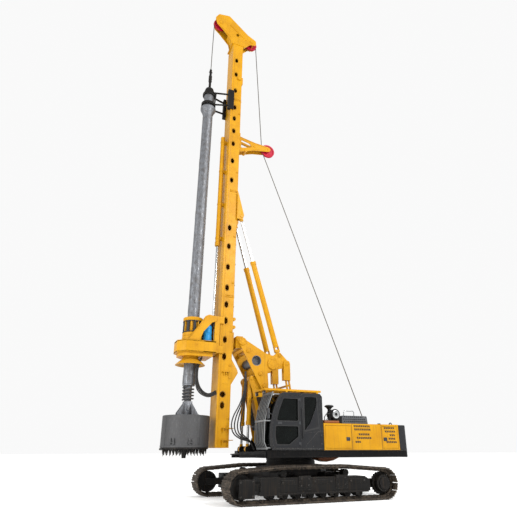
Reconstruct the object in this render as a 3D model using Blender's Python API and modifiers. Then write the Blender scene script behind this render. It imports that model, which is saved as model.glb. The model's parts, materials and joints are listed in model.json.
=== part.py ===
"""Rotary piling rig on tracks: a revolving upper body, a parallelogram boom with a triangular
frame, and a tall mast that carries a rotary head, a telescopic kelly bar and a drilling bucket.

Metres, +Z up, +X towards the mast, +Y to the machine's left. Shapes are placed from the slewing
axis, and one empty moves them all so that the middle of the whole machine is the origin.
"""

import math

import bmesh
import bpy
from mathutils import Matrix, Vector
from mathutils.geometry import convex_hull_2d

# Clearances
SEAT = 0.0003  # between two pieces that bear on each other
RUN = 0.005  # between a pin or a rod and what it turns or slides in
PANEL_GAP = 0.008  # round a door

# Overall sizes
UPPER_HALF = 1.495
REAR_X = -3.81
TAIL_X = -3.394  # front of the counterweight
DECK_LOW, DECK_TOP = 1.197, 1.405
DECK_FRONT = 1.50
HOUSING_FRONT, HOUSING_TOP, SHEET = -0.488, 2.213, 0.03
CAB_REAR, CAB_INNER, CAB_WALL = -0.46, 0.60, 0.05
CAB_TOP = 3.109

# Undercarriage
TRACK_LENGTH, TRACK_HALF, SHOE_WIDTH = 5.60, 2.04, 0.72
TRACK_TOP, TRACK_SHIFT = 1.005, 0.02
WHEEL_TRACK_RADIUS, TRACK_DEPTH, GROUSER = 0.455, 0.125, 0.028
SHOES = 58
SPROCKET_TEETH = 21
RING_RADIUS = 0.8125

# Linkage pins, as (x, z)
BOOM_FOOT, BOOM_HEAD = (0.95, 1.72), (1.18, 3.42)
ROD_HEAD = (0.37, 4.175)
ROD_FOOT = (BOOM_FOOT[0] + ROD_HEAD[0] - BOOM_HEAD[0], BOOM_FOOT[1] + ROD_HEAD[1] - BOOM_HEAD[1])
LUFF_HEAD, LUFF_FOOT, LUFF_Y = (1.60, 3.65), (1.655, 1.45), 0.29
TILT_PIN = (1.99, 4.83)
STAY_FOOT, STAY_HEAD = (0.622, 4.459), (2.13, 9.64)
STAY_FOOT_Y, STAY_HEAD_Y, STAY_CHEEK = 0.42, 0.32, 0.075
DELTA_Y, PLATE, BOOM_Y = 0.50, 0.05, 0.38

# Mast
MAST_REAR, MAST_FRONT, MAST_HALF, MAST_WALL = 2.292, 2.752, 0.335, 0.02
MAST_LOW, MAST_TOP = 1.486, 18.35
RAIL = 0.028  # how far a rail stands out of the mast's side
SHEAVE_RADIUS, SHEAVE_WIDTH = 0.30, 0.09

# Drilling line
KELLY_X, KELLY_RADIUS, KELLY_BORE, INNER_RADIUS = 3.614, 0.2065, 0.18, 0.13
KELLY_LOW, KELLY_TOP = 3.385, 15.24 - SEAT
SLEEVE_BORE = KELLY_RADIUS + 0.008
HEAD_LOW, HEAD_TOP = 4.248, 4.744
BUCKET_RADIUS, BUCKET_TOP, BUCKET_LOW, BUCKET_WALL = 0.74, 2.416, 1.496, 0.03
DOOR_TOP = BUCKET_LOW - SEAT
BUCKET_HINGE = (KELLY_X + BUCKET_RADIUS - 0.05, DOOR_TOP - 0.042)
CROWD_X, CROWD_BARREL, CROWD_ROD = 2.905, 0.085, 0.045
CROWD_LOW, CROWD_TOP = 8.43, 13.35

# The whole machine reaches from the bucket's front to the counterweight's rear.
CENTRE_X = (KELLY_X + BUCKET_RADIUS + REAR_X) / 2

YELLOW = ("E3A512", 0.42, 0.0)
DARK = ("3A3B3E", 0.5, 0.2)
BLACK = ("1B1B1C", 0.6, 0.0)
STEEL = ("6E7073", 0.45, 0.9)
CHROME = ("D8DADB", 0.12, 1.0)
SHOE = ("5D5247", 0.7, 0.6)
BLUE = ("1E8FC9", 0.4, 0.0)
RED = ("B3122E", 0.45, 0.1)
GLASS = ("20282A", 0.08, 0.0)
FABRIC = ("26272A", 0.9, 0.0)

hub = None
parts = None
tools = None


def clear_scene():
    for old in list(bpy.data.objects):
        bpy.data.objects.remove(old, do_unlink=True)


def start_collections():
    global hub, parts, tools
    parts = bpy.data.collections.new("rotary_piling_rig")
    tools = bpy.data.collections.new("construction_shapes")
    tools.hide_render = True
    for collection in (parts, tools):
        bpy.context.scene.collection.children.link(collection)
    hub = bpy.data.objects.new("slewing_axis", None)
    hub.location.x = -CENTRE_X
    parts.objects.link(hub)


def finish_of(name, look):
    code, roughness, metallic = look
    made = bpy.data.materials.new(name)
    made.use_nodes = True
    shader = made.node_tree.nodes["Principled BSDF"]
    linear = [((int(code[i : i + 2], 16) / 255 + 0.055) / 1.055) ** 2.4 for i in (0, 2, 4)]
    shader.inputs["Base Color"].default_value = (*linear, 1)
    shader.inputs["Roughness"].default_value = roughness
    shader.inputs["Metallic"].default_value = metallic
    made.diffuse_color = (*linear, 1)
    return made


# Shapes. Each returns a hidden construction object that fuse() turns into a part.


def shape_object(mesh, name="shape"):
    made = bpy.data.objects.new(name, mesh)
    made.parent = hub
    made.hide_render = True
    made.display_type = "WIRE"
    tools.objects.link(made)
    return made


def from_bmesh(bm):
    mesh = bpy.data.meshes.new("shape")
    bmesh.ops.recalc_face_normals(bm, faces=bm.faces)
    bm.to_mesh(mesh)
    bm.free()
    return shape_object(mesh)


def box(x, y, z):
    """A block between the given (low, high) pairs."""
    bm = bmesh.new()
    size = [max(pair) - min(pair) for pair in (x, y, z)]
    centre = [sum(pair) / 2 for pair in (x, y, z)]
    bmesh.ops.create_cube(bm, size=1.0)
    bmesh.ops.scale(bm, vec=size, verts=bm.verts)
    bmesh.ops.translate(bm, vec=centre, verts=bm.verts)
    return from_bmesh(bm)


def bar(start, end, radius, sides=12, end_radius=None):
    """A round bar, or a cone, between two points."""
    start, end = Vector(start), Vector(end)
    run = end - start
    bm = bmesh.new()
    bmesh.ops.create_cone(
        bm,
        cap_ends=True,
        segments=sides,
        radius1=radius,
        radius2=radius if end_radius is None else end_radius,
        depth=run.length,
    )
    turn = Vector((0, 0, 1)).rotation_difference(run).to_matrix().to_4x4()
    if abs(run.x) + abs(run.y) < 1e-9:
        turn = Matrix.Identity(4)
        if run.z < 0:
            turn = Matrix.Rotation(math.pi, 4, "X")
    flat_side = Matrix.Rotation(math.pi / sides, 4, "Z")
    bmesh.ops.transform(bm, matrix=Matrix.Translation((start + end) / 2) @ turn @ flat_side, verts=bm.verts)
    return from_bmesh(bm)


def strut(start, end, width, height):
    """A square bar between two points: width across Y, height across the other way."""
    start, end = Vector(start), Vector(end)
    run = end - start
    along = run.normalized()
    side = Vector((0, 1, 0)) if abs(along.y) < 0.9 else Vector((1, 0, 0))
    up = along.cross(side).normalized()
    side = up.cross(along).normalized()
    bm = bmesh.new()
    bmesh.ops.create_cube(bm, size=1.0)
    bmesh.ops.scale(bm, vec=(width, height, run.length), verts=bm.verts)
    frame = Matrix((side, up, along)).transposed().to_4x4()
    if frame.determinant() < 0:
        frame = Matrix((-side, up, along)).transposed().to_4x4()
    bmesh.ops.transform(bm, matrix=Matrix.Translation((start + end) / 2) @ frame, verts=bm.verts)
    return from_bmesh(bm)


def rounded(points, steps=2):
    """An outline whose corners (x, y, radius) become arcs; a corner (x, y) stays sharp."""
    out = []
    for i, corner in enumerate(points):
        here = Vector(corner[:2])
        if len(corner) < 3:
            out.append(tuple(here))
            continue
        before = (Vector(points[i - 1][:2]) - here).normalized()
        after = (Vector(points[(i + 1) % len(points)][:2]) - here).normalized()
        half = before.angle(after) / 2
        radius = corner[2]
        centre = here + (before + after).normalized() * radius / math.sin(half)
        first = here + before * radius / math.tan(half)
        last = here + after * radius / math.tan(half)
        a = math.atan2(*(first - centre).yx)
        b = math.atan2(*(last - centre).yx)
        sweep = (b - a + math.pi) % (2 * math.pi) - math.pi
        for n in range(steps + 1):
            angle = a + sweep * n / steps
            out.append((centre.x + radius * math.cos(angle), centre.y + radius * math.sin(angle)))
    return out


def ring_points(centre, radius, sides=20, start=0.0):
    return [
        (
            centre[0] + radius * math.cos(start + 2 * math.pi * n / sides),
            centre[1] + radius * math.sin(start + 2 * math.pi * n / sides),
        )
        for n in range(sides)
    ]


def slot_points(centre, width, height, steps=2):
    """A slot with round ends, upright, as wide as it says."""
    x, z, r = centre[0], centre[1], width / 2
    reach = height / 2 - r
    upper = [(x + r * math.cos(math.pi * n / steps), z + reach + r * math.sin(math.pi * n / steps)) for n in range(steps + 1)]
    return upper + [(2 * x - p, 2 * z - q) for p, q in upper]


def sheet_of(outline, holes, thickness):
    """A flat outline with its holes, as thick as it says, lying in XY about z = 0."""
    data = bpy.data.curves.new("outline", "CURVE")
    data.dimensions = "2D"
    data.fill_mode = "BOTH"
    data.extrude = thickness / 2
    for loop in (outline, *holes):
        spline = data.splines.new("POLY")
        spline.points.add(len(loop) - 1)
        for point, (x, y) in zip(spline.points, loop):
            point.co = (x, y, 0, 1)
        spline.use_cyclic_u = True
    curve = bpy.data.objects.new("outline", data)
    mesh = bpy.data.meshes.new_from_object(curve)
    bpy.data.objects.remove(curve)
    bm = bmesh.new()
    bm.from_mesh(mesh)
    bmesh.ops.remove_doubles(bm, verts=bm.verts, dist=1e-5)
    return bm


def side_plate(outline, y, holes=()):
    """A plate in the XZ plane between the two Y values."""
    bm = sheet_of(outline, holes, max(y) - min(y))
    bmesh.ops.rotate(bm, matrix=Matrix.Rotation(math.pi / 2, 3, "X"), verts=bm.verts)
    bmesh.ops.translate(bm, vec=(0, sum(y) / 2, 0), verts=bm.verts)
    return from_bmesh(bm)


def floor_plate(outline, z, holes=()):
    """A plate in the XY plane between the two Z values."""
    bm = sheet_of(outline, holes, max(z) - min(z))
    bmesh.ops.translate(bm, vec=(0, 0, sum(z) / 2), verts=bm.verts)
    return from_bmesh(bm)


def turned(profile, centre, axis="Z", steps=16):
    """A profile of (radius, height) turned round an axis. It has to run down its outer side."""
    loop = list(profile)
    area = sum(a[0] * b[1] - b[0] * a[1] for a, b in zip(loop, loop[1:] + loop[:1]))
    if area > 0:
        profile = loop[::-1]
    mesh = bpy.data.meshes.new("profile")
    bm = bmesh.new()
    verts = [bm.verts.new((r, 0, h)) for r, h in profile]
    for a, b in zip(verts, verts[1:]):
        bm.edges.new((a, b))
    if profile[0][0] > 0 and profile[-1][0] > 0:
        bm.edges.new((verts[-1], verts[0]))
    bm.to_mesh(mesh)
    bm.free()
    made = shape_object(mesh)
    spin = made.modifiers.new("turn", "SCREW")
    spin.axis = "Z"
    spin.steps = steps
    spin.render_steps = steps
    spin.use_merge_vertices = True
    spin.merge_threshold = 1e-5
    made.location = centre
    if axis == "Y":
        made.rotation_euler.x = math.pi / 2
    if axis == "X":
        made.rotation_euler.y = math.pi / 2
    return made


def mirrored(pieces):
    """The same shapes again on the machine's other side."""
    out = []
    for piece in pieces:
        mesh = piece.data.copy()
        bm = bmesh.new()
        bm.from_mesh(mesh)
        bmesh.ops.scale(bm, vec=(1, -1, 1), verts=bm.verts)
        bmesh.ops.reverse_faces(bm, faces=bm.faces)
        bm.to_mesh(mesh)
        bm.free()
        made = shape_object(mesh)
        made.location = (piece.location.x, -piece.location.y, piece.location.z)
        made.rotation_euler = (-piece.rotation_euler.x, piece.rotation_euler.y, -piece.rotation_euler.z)
        for old in piece.modifiers:
            spin = made.modifiers.new(old.name, old.type)
            spin.axis = old.axis
            spin.steps = old.steps
            spin.render_steps = old.render_steps
            spin.use_merge_vertices = True
            spin.merge_threshold = old.merge_threshold
            spin.use_normal_flip = True
        out.append(made)
    return out


def boolean(made, operation, operands):
    group = bpy.data.collections.new(f"{made.name}_{operation.lower()}")
    group.hide_render = True
    tools.children.link(group)
    for operand in operands:
        tools.objects.unlink(operand)
        group.objects.link(operand)
    change = made.modifiers.new(operation.lower(), "BOOLEAN")
    change.operation = operation
    change.operand_type = "COLLECTION"
    change.collection = group
    change.solver = "EXACT"


def fuse(name, look, pieces, cuts=(), pivot=(0, 0, 0), late=()):
    """The named part: its pieces in one solid, less its cuts, plus what is added after them."""
    made, *others = pieces
    made.name = name
    made.data.name = name
    made.hide_render = False
    made.display_type = "TEXTURED"
    tools.objects.unlink(made)
    parts.objects.link(made)
    if not made.modifiers and made.location.length == 0:
        made.data.transform(Matrix.Translation(-Vector(pivot)))
        made.location = pivot
    if others:
        boolean(made, "UNION", others)
    if cuts:
        boolean(made, "DIFFERENCE", cuts)
    if late:
        boolean(made, "UNION", late)
    made.data.materials.append(finish_of(name, look))
    made.data.shade_smooth()
    made.data.set_sharp_from_angle(angle=math.radians(35))
    return made


def both_sides(name, look, build):
    """One part on each side: build(sign) gives its pieces and cuts."""
    for side, sign in (("left", 1), ("right", -1)):
        pieces, cuts = build(sign)
        fuse(f"{name}_{side}", look, pieces, cuts)


def pin(x_z, y, radius, sides=12):
    """A round bar along Y between the two Y values."""
    return bar((x_z[0], y[0], x_z[1]), (x_z[0], y[1], x_z[1]), radius, sides)


def upright(z, radius, x=KELLY_X, y=0.0, sides=20, top_radius=None):
    """A round bar along Z between the two Z values."""
    return bar((x, y, z[0]), (x, y, z[1]), radius, sides, top_radius)


# Undercarriage

WHEEL_Z = WHEEL_TRACK_RADIUS
WHEEL_X = TRACK_LENGTH / 2 - WHEEL_TRACK_RADIUS
CARRIER_X, CARRIER_RADIUS = 1.05, 0.10
TRACK_Y = TRACK_HALF - SHOE_WIDTH / 2


def track_loop(offset, steps):
    """The belt's line at this distance outside its wheels: a hull round idler, sprocket and carriers."""
    wheel = WHEEL_TRACK_RADIUS - TRACK_DEPTH
    carrier_z = TRACK_TOP - TRACK_DEPTH - CARRIER_RADIUS
    points = []
    for x, z, r in (
        (WHEEL_X, WHEEL_Z, wheel),
        (-WHEEL_X, WHEEL_Z, wheel),
        (CARRIER_X, carrier_z, CARRIER_RADIUS),
        (-CARRIER_X, carrier_z, CARRIER_RADIUS),
    ):
        points += ring_points((x + TRACK_SHIFT, z), r + offset, steps)
    return [points[i] for i in convex_hull_2d(points)]


def shoe_outline():
    """The belt's outer line, with each shoe's grouser standing out of it."""
    loop = [Vector(p) for p in track_loop(TRACK_DEPTH - GROUSER, 96)]
    lengths = [(loop[(i + 1) % len(loop)] - p).length for i, p in enumerate(loop)]
    pitch = sum(lengths) / SHOES

    def at(distance, height):
        i = 0
        while distance > lengths[i % len(loop)]:
            distance -= lengths[i % len(loop)]
            i += 1
        a, b = loop[i % len(loop)], loop[(i + 1) % len(loop)]
        along = (b - a).normalized()
        out = Vector((along.y, -along.x))
        return tuple(a + along * distance + out * height)

    turn = sum(a.x * b.y - b.x * a.y for a, b in zip(loop, loop[1:] + loop[:1]))
    if turn < 0:
        loop.reverse()
        lengths = [(loop[(i + 1) % len(loop)] - p).length for i, p in enumerate(loop)]
    outline = []
    for n in range(SHOES):
        start = n * pitch
        outline += [
            at(start + 0.62 * pitch, 0),
            at(start + 0.66 * pitch, GROUSER),
            at(start + 0.80 * pitch, GROUSER),
            at(start + 0.84 * pitch, 0),
        ]
    return outline


def build_track(sign):
    y = sign * TRACK_Y
    belt = side_plate(shoe_outline(), (y - SHOE_WIDTH / 2, y + SHOE_WIDTH / 2), [track_loop(0, 20)])
    return [belt], ()


def build_track_frame(sign):
    floor = TRACK_DEPTH + SEAT
    y0, y1 = sign * 1.43, sign * 1.95
    roller = 0.105
    pieces = [
        side_plate(
            rounded(
                [(-1.78, 0.27), (1.62, 0.27), (1.82, 0.36), (1.82, 0.60), (1.45, 0.68), (-1.6, 0.68), (-1.78, 0.58)]
            ),
            (y0, y1),
        ),
        box((1.30, 1.86), (sign * 1.40, sign * 1.985), (0.24, 0.70)),
        box((0.28, 0.66), (sign * 1.42, sign * 1.975), (0.36, 0.72)),
        box((-0.95, -0.57), (sign * 1.42, sign * 1.975), (0.36, 0.72)),
    ]
    for n in range(8):
        x = TRACK_SHIFT - 1.47 + n * 0.42
        centre = (x, floor + roller * math.cos(math.pi / 10))
        pieces.append(pin(centre, (sign * 1.50, sign * 1.86), roller, 10))
    for x in (-CARRIER_X, CARRIER_X):
        carrier_z = TRACK_TOP - TRACK_DEPTH - CARRIER_RADIUS
        pieces.append(pin((x + TRACK_SHIFT, carrier_z), (sign * 1.56, sign * 1.80), CARRIER_RADIUS - SEAT, 12))
        pieces.append(box((x - 0.05, x + 0.09), (sign * 1.64, sign * 1.72), (0.6, carrier_z)))
    wheel = (WHEEL_X + TRACK_SHIFT, WHEEL_Z)
    radius = WHEEL_TRACK_RADIUS - TRACK_DEPTH - 0.005
    pieces += [
        pin(wheel, (sign * 1.58, sign * 1.78), radius, 28),
        pin(wheel, (sign * 1.46, sign * 1.90), 0.10, 16),
        box((1.80, wheel[0] + 0.10), (sign * 1.44, sign * 1.53), (0.36, 0.55)),
        box((1.80, wheel[0] + 0.10), (sign * 1.83, sign * 1.92), (0.36, 0.55)),
        box((-2.45, -1.70), (sign * 1.43, sign * 1.60), (0.33, 0.58)),
    ]
    return pieces, ()


def build_final_drive(sign):
    wheel = (-WHEEL_X + TRACK_SHIFT, WHEEL_Z)
    radius = WHEEL_TRACK_RADIUS - TRACK_DEPTH - 0.005
    teeth = []
    for n in range(SPROCKET_TEETH):
        teeth.append(2 * math.pi * n / SPROCKET_TEETH)
    outline = []
    for angle in teeth:
        for share, reach in ((-0.34, 0.92), (-0.12, 1.0), (0.12, 1.0), (0.34, 0.92)):
            turn = angle + share * 2 * math.pi / SPROCKET_TEETH
            outline.append((wheel[0] + radius * reach * math.cos(turn), wheel[1] + radius * reach * math.sin(turn)))
    pieces = [
        side_plate(outline, (sign * 1.63, sign * 1.73)),
        pin(wheel, (sign * (1.60 + SEAT), sign * 1.90), 0.24, 20),
        pin(wheel, (sign * 1.89, sign * 1.95), 0.17, 16),
    ]
    return pieces, ()


def build_undercarriage():
    both_sides("track", SHOE, build_track)
    both_sides("track_frame", DARK, build_track_frame)
    both_sides("final_drive", DARK, build_final_drive)
    inner = 1.42 - SEAT
    block = [(-0.62, -0.95), (0.62, -0.95), (1.0, -0.6), (1.0, 0.6), (0.62, 0.95), (-0.62, 0.95), (-1.0, 0.6), (-1.0, -0.6)]
    pieces = [
        floor_plate(block, (0.42, 0.93)),
        upright((0.90, 1.00), RING_RADIUS - 0.02, x=0, sides=40),
    ]
    for x in (-0.75, 0.75):
        leg = side_plate([(x - 0.28, 0.40), (x + 0.28, 0.40), (x + 0.24, 0.78), (x - 0.24, 0.78)], (-inner, inner))
        pieces.append(leg)
    fuse("carbody", DARK, pieces)
    rim, low, top = RING_RADIUS, 1.0 + SEAT, DECK_LOW - SEAT
    fuse(
        "slew_ring",
        DARK,
        [turned([(rim - 0.1, top), (rim, top), (rim, low), (rim - 0.1, low)], (0, 0, 0), steps=36)],
    )


# Upper body

DECK_BORE = RING_RADIUS - 0.12
TOWER_Y, TOWER_PLATE = 0.44, 0.04
LUG_PIN = 0.04


def build_platform():
    corner = 0.10
    deck = rounded(
        [
            (TAIL_X - 0.25, -UPPER_HALF + 0.02),
            (DECK_FRONT, -UPPER_HALF + 0.02, corner),
            (DECK_FRONT, UPPER_HALF - 0.02, corner),
            (TAIL_X - 0.25, UPPER_HALF - 0.02),
        ]
    )
    tower = [
        (-0.32, DECK_TOP - 0.02),
        (BOOM_FOOT[0] + 0.42, DECK_TOP - 0.02),
        (BOOM_FOOT[0] + 0.22, BOOM_FOOT[1] + 0.20, 0.12),
        (BOOM_FOOT[0] - 0.10, BOOM_FOOT[1] + 0.30),
        (ROD_FOOT[0] + 0.14, ROD_FOOT[1] + 0.12, 0.10),
        (ROD_FOOT[0] - 0.14, ROD_FOOT[1] + 0.12, 0.10),
    ]
    pieces = [
        floor_plate(deck, (DECK_LOW, DECK_TOP)),
        pin(BOOM_FOOT, (-TOWER_Y - 0.06, TOWER_Y + 0.06), 0.065),
        pin(ROD_FOOT, (-0.585, 0.585), 0.045),
        upright((DECK_LOW - 0.10, DECK_LOW + 0.01), DECK_BORE, x=0, sides=32),
    ]
    for sign in (1, -1):
        pieces.append(side_plate(rounded(tower), (sign * TOWER_Y, sign * (TOWER_Y + TOWER_PLATE))))
        for near in (LUFF_Y - 0.10, LUFF_Y + 0.07):
            lug = rounded(
                [
                    (1.40, DECK_LOW + 0.02),
                    (LUFF_FOOT[0] + 0.08, DECK_LOW + 0.02, 0.05),
                    (LUFF_FOOT[0] + 0.10, LUFF_FOOT[1] + 0.09, 0.08),
                    (LUFF_FOOT[0] - 0.10, LUFF_FOOT[1] + 0.09, 0.08),
                    (1.40, DECK_TOP),
                ]
            )
            pieces.append(side_plate(lug, (sign * near, sign * (near + 0.03))))
        for near, far in ((0.07, 0.12), (-0.12, -0.07)):
            pieces.append(pin(LUFF_FOOT, (sign * (LUFF_Y + near), sign * (LUFF_Y + far)), LUG_PIN))
    for sign in (1, -1):
        cheek = rounded(
            [(WINCH[0] - 0.30, DECK_TOP - 0.02), (WINCH[0] + 0.34, DECK_TOP - 0.02), (WINCH[0] + 0.16, WINCH[1] + 0.16, 0.1), (WINCH[0] - 0.16, WINCH[1] + 0.16, 0.1)]
        )
        pieces.append(side_plate(cheek, (sign * 0.42, sign * 0.46)))
        pieces.append(pin(WINCH, (sign * 0.30, sign * 0.43), 0.09))
    fuse("platform", DARK, pieces)


WINCH = (-3.04, 1.90)
WINCH_RADIUS = 0.20


def build_winch():
    drum = [
        (0.31, 0.37),
        (0.31, 0.33),
        (WINCH_RADIUS, 0.33),
        (WINCH_RADIUS, -0.33),
        (0.31, -0.33),
        (0.31, -0.37),
        (0.14, -0.37),
        (0.14, -0.42 + SEAT),
        (0.10, -0.42 + SEAT),
        (0.10, 0.42 - SEAT),
        (0.14, 0.42 - SEAT),
        (0.14, 0.37),
    ]
    fuse("winch_drum", DARK, [turned(drum, (WINCH[0], 0, WINCH[1]), "Y", 18)], (), (WINCH[0], 0, WINCH[1]))


def build_counterweight():
    outline = rounded(
        [
            (TAIL_X - SEAT, -UPPER_HALF),
            (TAIL_X - SEAT, UPPER_HALF),
            (REAR_X + 0.06, UPPER_HALF, 0.14),
            (REAR_X, 0.7, 0.6),
            (REAR_X, -0.7, 0.6),
            (REAR_X + 0.06, -UPPER_HALF, 0.14),
        ]
    )
    lower = [(TAIL_X, -UPPER_HALF - 0.1), (TAIL_X, UPPER_HALF + 0.1), (TAIL_X - 0.26, UPPER_HALF + 0.1), (TAIL_X - 0.26, -UPPER_HALF - 0.1)]
    fuse(
        "counterweight",
        DARK,
        [floor_plate(outline, (1.19, 2.205))],
        [floor_plate([(x + 0.01 * (i < 2), y) for i, (x, y) in enumerate(lower)], (1.0, DECK_TOP + SEAT))],
    )


DOOR_LOW, DOOR_HIGH, DOOR_SHEET = 1.46, 2.15, 0.04
LEFT_PANELS = {
    "left_front_door": (-0.53, -1.505),
    "left_rear_door": (-2.705, -3.35),
}
RIGHT_PANELS = {
    "right_front_door": (-0.53, -1.90),
    "right_rear_door": (-1.95, -3.35),
}
HATCH = (-2.10, -0.70, 0.62)
WELL = (-3.36, -2.62, 0.52)


def build_housing():
    low = DECK_TOP + SEAT
    shell = box((TAIL_X + SEAT, HOUSING_FRONT), (-UPPER_HALF, UPPER_HALF), (low, HOUSING_TOP))
    cuts = [
        box(
            (TAIL_X + SHEET, HOUSING_FRONT - SHEET),
            (-UPPER_HALF + SHEET, UPPER_HALF - SHEET),
            (low - 0.1, HOUSING_TOP - SHEET),
        ),
        box(HATCH[:2], (-HATCH[2], HATCH[2]), (2.0, 2.4)),
        box(WELL[:2], (-WELL[2], WELL[2]), (2.0, 2.4)),
    ]
    for panels, sign in ((LEFT_PANELS, 1), (RIGHT_PANELS, -1)):
        for front, rear in panels.values():
            cuts.append(box((rear, front), (sign * (UPPER_HALF - 0.1), sign * (UPPER_HALF + 0.1)), (DOOR_LOW, DOOR_HIGH)))
    flanges = []
    for panels, sign in ((LEFT_PANELS, 1), (RIGHT_PANELS, -1)):
        behind = (sign * (UPPER_HALF - DOOR_SHEET - SEAT), sign * (UPPER_HALF - DOOR_SHEET - 0.02))
        web = (sign * (UPPER_HALF - SHEET + 0.005), behind[1])
        for front, rear in panels.values():
            flanges.append(box((rear, front), behind, (DOOR_LOW - 0.02, DOOR_LOW + 0.03)))
            flanges.append(box((rear, front), web, (DOOR_LOW - 0.02, DOOR_LOW)))
    for sign in (1, -1):
        flanges.append(box(HATCH[:2], (sign * (HATCH[2] - 0.03), sign * (HATCH[2] + 0.02)), (HOUSING_TOP - SHEET - 0.02, HOUSING_TOP - SHEET - SEAT)))
        flanges.append(box(HATCH[:2], (sign * HATCH[2], sign * (HATCH[2] + 0.02)), (HOUSING_TOP - SHEET - 0.02, HOUSING_TOP - 0.01)))
    fuse("engine_housing", YELLOW, [shell], cuts, late=flanges)
    for panels, sign in ((LEFT_PANELS, 1), (RIGHT_PANELS, -1)):
        for name, (front, rear) in panels.items():
            y = sign * UPPER_HALF
            hinge = rear + PANEL_GAP if name.endswith("rear_door") else front - PANEL_GAP
            leaf = box(
                (rear + PANEL_GAP, front - PANEL_GAP),
                (y, y - sign * DOOR_SHEET),
                (DOOR_LOW + PANEL_GAP, DOOR_HIGH - PANEL_GAP),
            )
            fuse(name, YELLOW, [leaf], (), (hinge, y, DOOR_LOW))
    hood = box(
        (HATCH[0] + PANEL_GAP, HATCH[1] - PANEL_GAP),
        (-HATCH[2] + PANEL_GAP, HATCH[2] - PANEL_GAP),
        (HOUSING_TOP - SHEET, HOUSING_TOP + 0.01),
    )
    fuse("engine_hood", YELLOW, [hood], (), (HATCH[1] - PANEL_GAP, 0, HOUSING_TOP + 0.01))
    block = box((-2.05, -0.80), (-0.45, 0.45), (DECK_TOP + SEAT, 2.05))
    fuse("engine_block", DARK, [block, upright((2.0, 2.12), 0.1, x=-1.2)])
    top = HOUSING_TOP + SEAT
    fuse("cooling_box", BLACK, [box((-2.28, -1.22), (0.75, 1.38), (top, 2.47))])
    fuse(
        "air_cleaner",
        BLACK,
        [
            upright((top, 2.66), 0.05, x=-0.82, y=1.30, sides=10),
            upright((2.60, 2.80), 0.14, x=-0.82, y=1.30, sides=16, top_radius=0.09),
            box((-1.10, -0.76), (1.12, 1.42), (top, 2.34)),
            pin((-1.02, 2.50), (1.02, 1.40), 0.17, 18),
            box((-1.08, -0.96), (1.1, 1.3), (2.3, 2.45)),
        ],
    )


# Cab

CAB_SIDE = [
    (CAB_REAR, 1.42),
    (1.30, 1.42),
    (1.365, 1.55),
    (1.385, 1.80),
    (1.36, 2.15),
    (1.27, 2.55),
    (1.14, 2.88),
    (1.02, 3.06, 0.06),
    (0.90, CAB_TOP),
    (-0.38, CAB_TOP),
    (CAB_REAR, 3.02),
]
CAB_FLOOR = 1.49
DOOR_REAR = 0.33
DOOR_SIDE = [
    (DOOR_REAR, 1.47),
    (1.22, 1.47),
    (1.295, 1.60),
    (1.305, 1.85),
    (1.275, 2.18),
    (1.19, 2.52),
    (1.07, 2.84),
    (0.97, 3.00),
    (DOOR_REAR, 3.03),
]


def inset(outline, distance):
    """The outline moved inwards by this distance, for an outline listed anticlockwise."""
    points = [Vector(p[:2]) for p in outline]
    out = []
    for i, here in enumerate(points):
        before = (here - points[i - 1]).normalized()
        after = (points[(i + 1) % len(points)] - here).normalized()
        across = Vector((-before.y, before.x)) + Vector((-after.y, after.x))
        across.normalize()
        lean = across.dot(Vector((-before.y, before.x)))
        out.append(tuple(here + across * distance / lean))
    return out


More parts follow.
